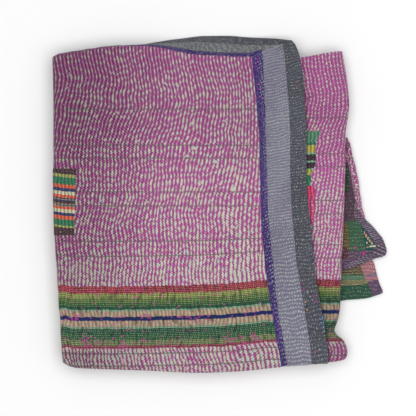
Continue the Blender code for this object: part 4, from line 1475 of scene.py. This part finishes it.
def area_light(name, spot, power, size):
    """A square light that looks at the middle of the frame."""
    light = bpy.data.lights.new(name, "AREA")
    light.energy, light.size = power, size
    lamp = bpy.data.objects.new(name, light)
    lamp.location = spot
    lamp.rotation_euler = (-lamp.location).to_track_quat("-Z", "Y").to_euler()
    bpy.context.scene.collection.objects.link(lamp)


def pale_sky():
    """Even white light from all round."""
    world = bpy.data.worlds.new("pale_studio")
    world.use_nodes = True
    background = world.node_tree.nodes["Background"]
    background.inputs["Color"].default_value = (1, 1, 1, 1)
    background.inputs["Strength"].default_value = SKY_STRENGTH
    bpy.context.scene.world = world
    bpy.context.scene.view_settings.view_transform = "Standard"


def overhead_camera(height):
    """A camera straight above the quilt, whose picture is PICTURE wide at the top of the stack."""
    middle = (np.array(PICTURE_MIDDLE) + frame_shift()) * MM
    camera = bpy.data.cameras.new("overhead_camera")
    view = bpy.data.objects.new("overhead_camera", camera)
    view.location = (middle[0], middle[1], height)
    camera.lens = camera.sensor_width * (height - TOP * MM) / PICTURE
    camera.clip_end = 30
    bpy.context.scene.collection.objects.link(view)
    bpy.context.scene.camera = view


# ---------------------------------------------------------------- the add-on


class QUILT_OT_layers(bpy.types.Operator):
    """Make the folded body of eight layers"""

    bl_idname = "quilt.layers"
    bl_label = "Folded Layers"

    def execute(self, context):
        quilt_layers(settings()[0])
        return {"FINISHED"}


class QUILT_OT_field_cloths(bpy.types.Operator):
    """Make the finely stitched face cloths of the top panel and the second panel"""

    bl_idname = "quilt.field_cloths"
    bl_label = "Stitched Face Cloths"

    def execute(self, context):
        sizes, _ = settings()
        share = spaced((0, 0.05, 14), (0.05, 0.985, 128), (0.985, 1, 7))
        field_cloth("top_panel", (0, KNOTS[2] + 10), share, 1, sizes, "quilted_field")
        field_cloth("second_panel", (KNOTS[2] + 412, KNOTS[4] + 10), share, -1, sizes, "second_panel")
        return {"FINISHED"}


# The side border's strips: slot, lines of ACROSS, the first one's corner of the mitre, and how pale
# the stitching is at each edge.
SIDE_STRIPS = {
    "side_border_purple": ("purple_strip", ("purple", "lavender"), 0, (0.06, 0.36)),
    "side_border_lavender": ("lavender_strip", ("lavender", "grey"), 1, (0.19, 0.30)),
    "side_border_grey": ("grey_strip", ("grey", "edge"), 2, (0.18, 0.18)),
}
# The end border's strips: slot, entry of STRIPS, and how pale the stitching is.
END_STRIPS = {
    "end_border_purple": ("purple_strip", "end_purple", 0.15),
    "end_border_pale": ("pale_strip", "end_pale", 0.75),
    "end_border_grey": ("grey_strip", "end_grey", 0.35),
}


class QUILT_OT_side_border(bpy.types.Operator):
    """Make the three strips of the side border"""

    bl_idname = "quilt.side_border"
    bl_label = "Side Border"

    def execute(self, context):
        for node, (slot, columns, corner, pale) in SIDE_STRIPS.items():
            side_strip(node, columns, corner, slot, pale)
        return {"FINISHED"}


class QUILT_OT_end_border(bpy.types.Operator):
    """Make the three strips of the end border"""

    bl_idname = "quilt.end_border"
    bl_label = "End Border"

    def execute(self, context):
        for line, (node, (slot, kind, pale)) in enumerate(END_STRIPS.items()):
            end_strip(node, line, kind, pale)
        return {"FINISHED"}


class QUILT_OT_patches(bpy.types.Operator):
    """Make the striped and plain patches sewn on at the left fold and on the second panel"""

    bl_idname = "quilt.patches"
    bl_label = "Sewn Patches"

    def execute(self, context):
        sizes, _ = settings()
        left_patch(sizes)
        right_patch("right_patch", STRIPED_PATCH, sizes, "green_patch")
        right_patch("right_patch_pink", PINK_PATCH, sizes, "pink_patch")
        return {"FINISHED"}


class QUILT_OT_flaps(bpy.types.Operator):
    """Make the patchwork on the two loose leaves and the binding round the corner"""

    bl_idname = "quilt.flaps"
    bl_label = "Loose Corner"

    def execute(self, context):
        flap_face("upper", 84, -118, PITCH + LEAF + 0.15)
        flap_face("lower", -98, -176, LEAF + 0.1)
        curled_edge(settings()[0])
        flap_binding()
        return {"FINISHED"}


class QUILT_OT_stage(bpy.types.Operator):
    """Set the pale floor, the soft light and the camera straight above"""

    bl_idname = "quilt.stage"
    bl_label = "Studio Stage"

    def execute(self, context):
        sizes, colours = settings()
        pale_floor(colours["floor"])
        area_light("overhead_light", (0, 0, 6.0), sizes.light_power, 7.0)
        area_light("key_light", (1.4, -0.4, 1.9), KEY_SHARE * sizes.light_power, 1.6)
        pale_sky()
        overhead_camera(sizes.camera_height)
        return {"FINISHED"}


OPERATORS = (
    QUILT_OT_layers, QUILT_OT_field_cloths, QUILT_OT_side_border, QUILT_OT_end_border,
    QUILT_OT_patches, QUILT_OT_flaps, QUILT_OT_stage,
)


class QUILT_PT_panel(bpy.types.Panel):
    """Lists the steps that make the quilt, with its sizes and colours"""

    bl_idname = "QUILT_PT_panel"
    bl_label = "Folded Kantha Quilt"
    bl_space_type = "VIEW_3D"
    bl_region_type = "UI"
    bl_category = "Kantha Quilt"

    def draw(self, context):
        for operator in OPERATORS:
            self.layout.operator(operator.bl_idname)
        for values in (context.scene.quilt_sizes, context.scene.quilt_colours):
            box = self.layout.box()
            for name in type(values).__annotations__:
                box.prop(values, name)


CLASSES = (QuiltColours, QuiltSizes, *OPERATORS, QUILT_PT_panel)


def register():
    for cls in CLASSES:
        bpy.utils.register_class(cls)
    bpy.types.Scene.quilt_colours = bpy.props.PointerProperty(type=QuiltColours)
    bpy.types.Scene.quilt_sizes = bpy.props.PointerProperty(type=QuiltSizes)


def unregister():
    del bpy.types.Scene.quilt_sizes
    del bpy.types.Scene.quilt_colours
    for cls in reversed(CLASSES):
        bpy.utils.unregister_class(cls)


def main():
    register()
    for operator in OPERATORS:
        getattr(bpy.ops.quilt, operator.bl_idname.split(".")[1])()


if __name__ == "__main__":
    main()
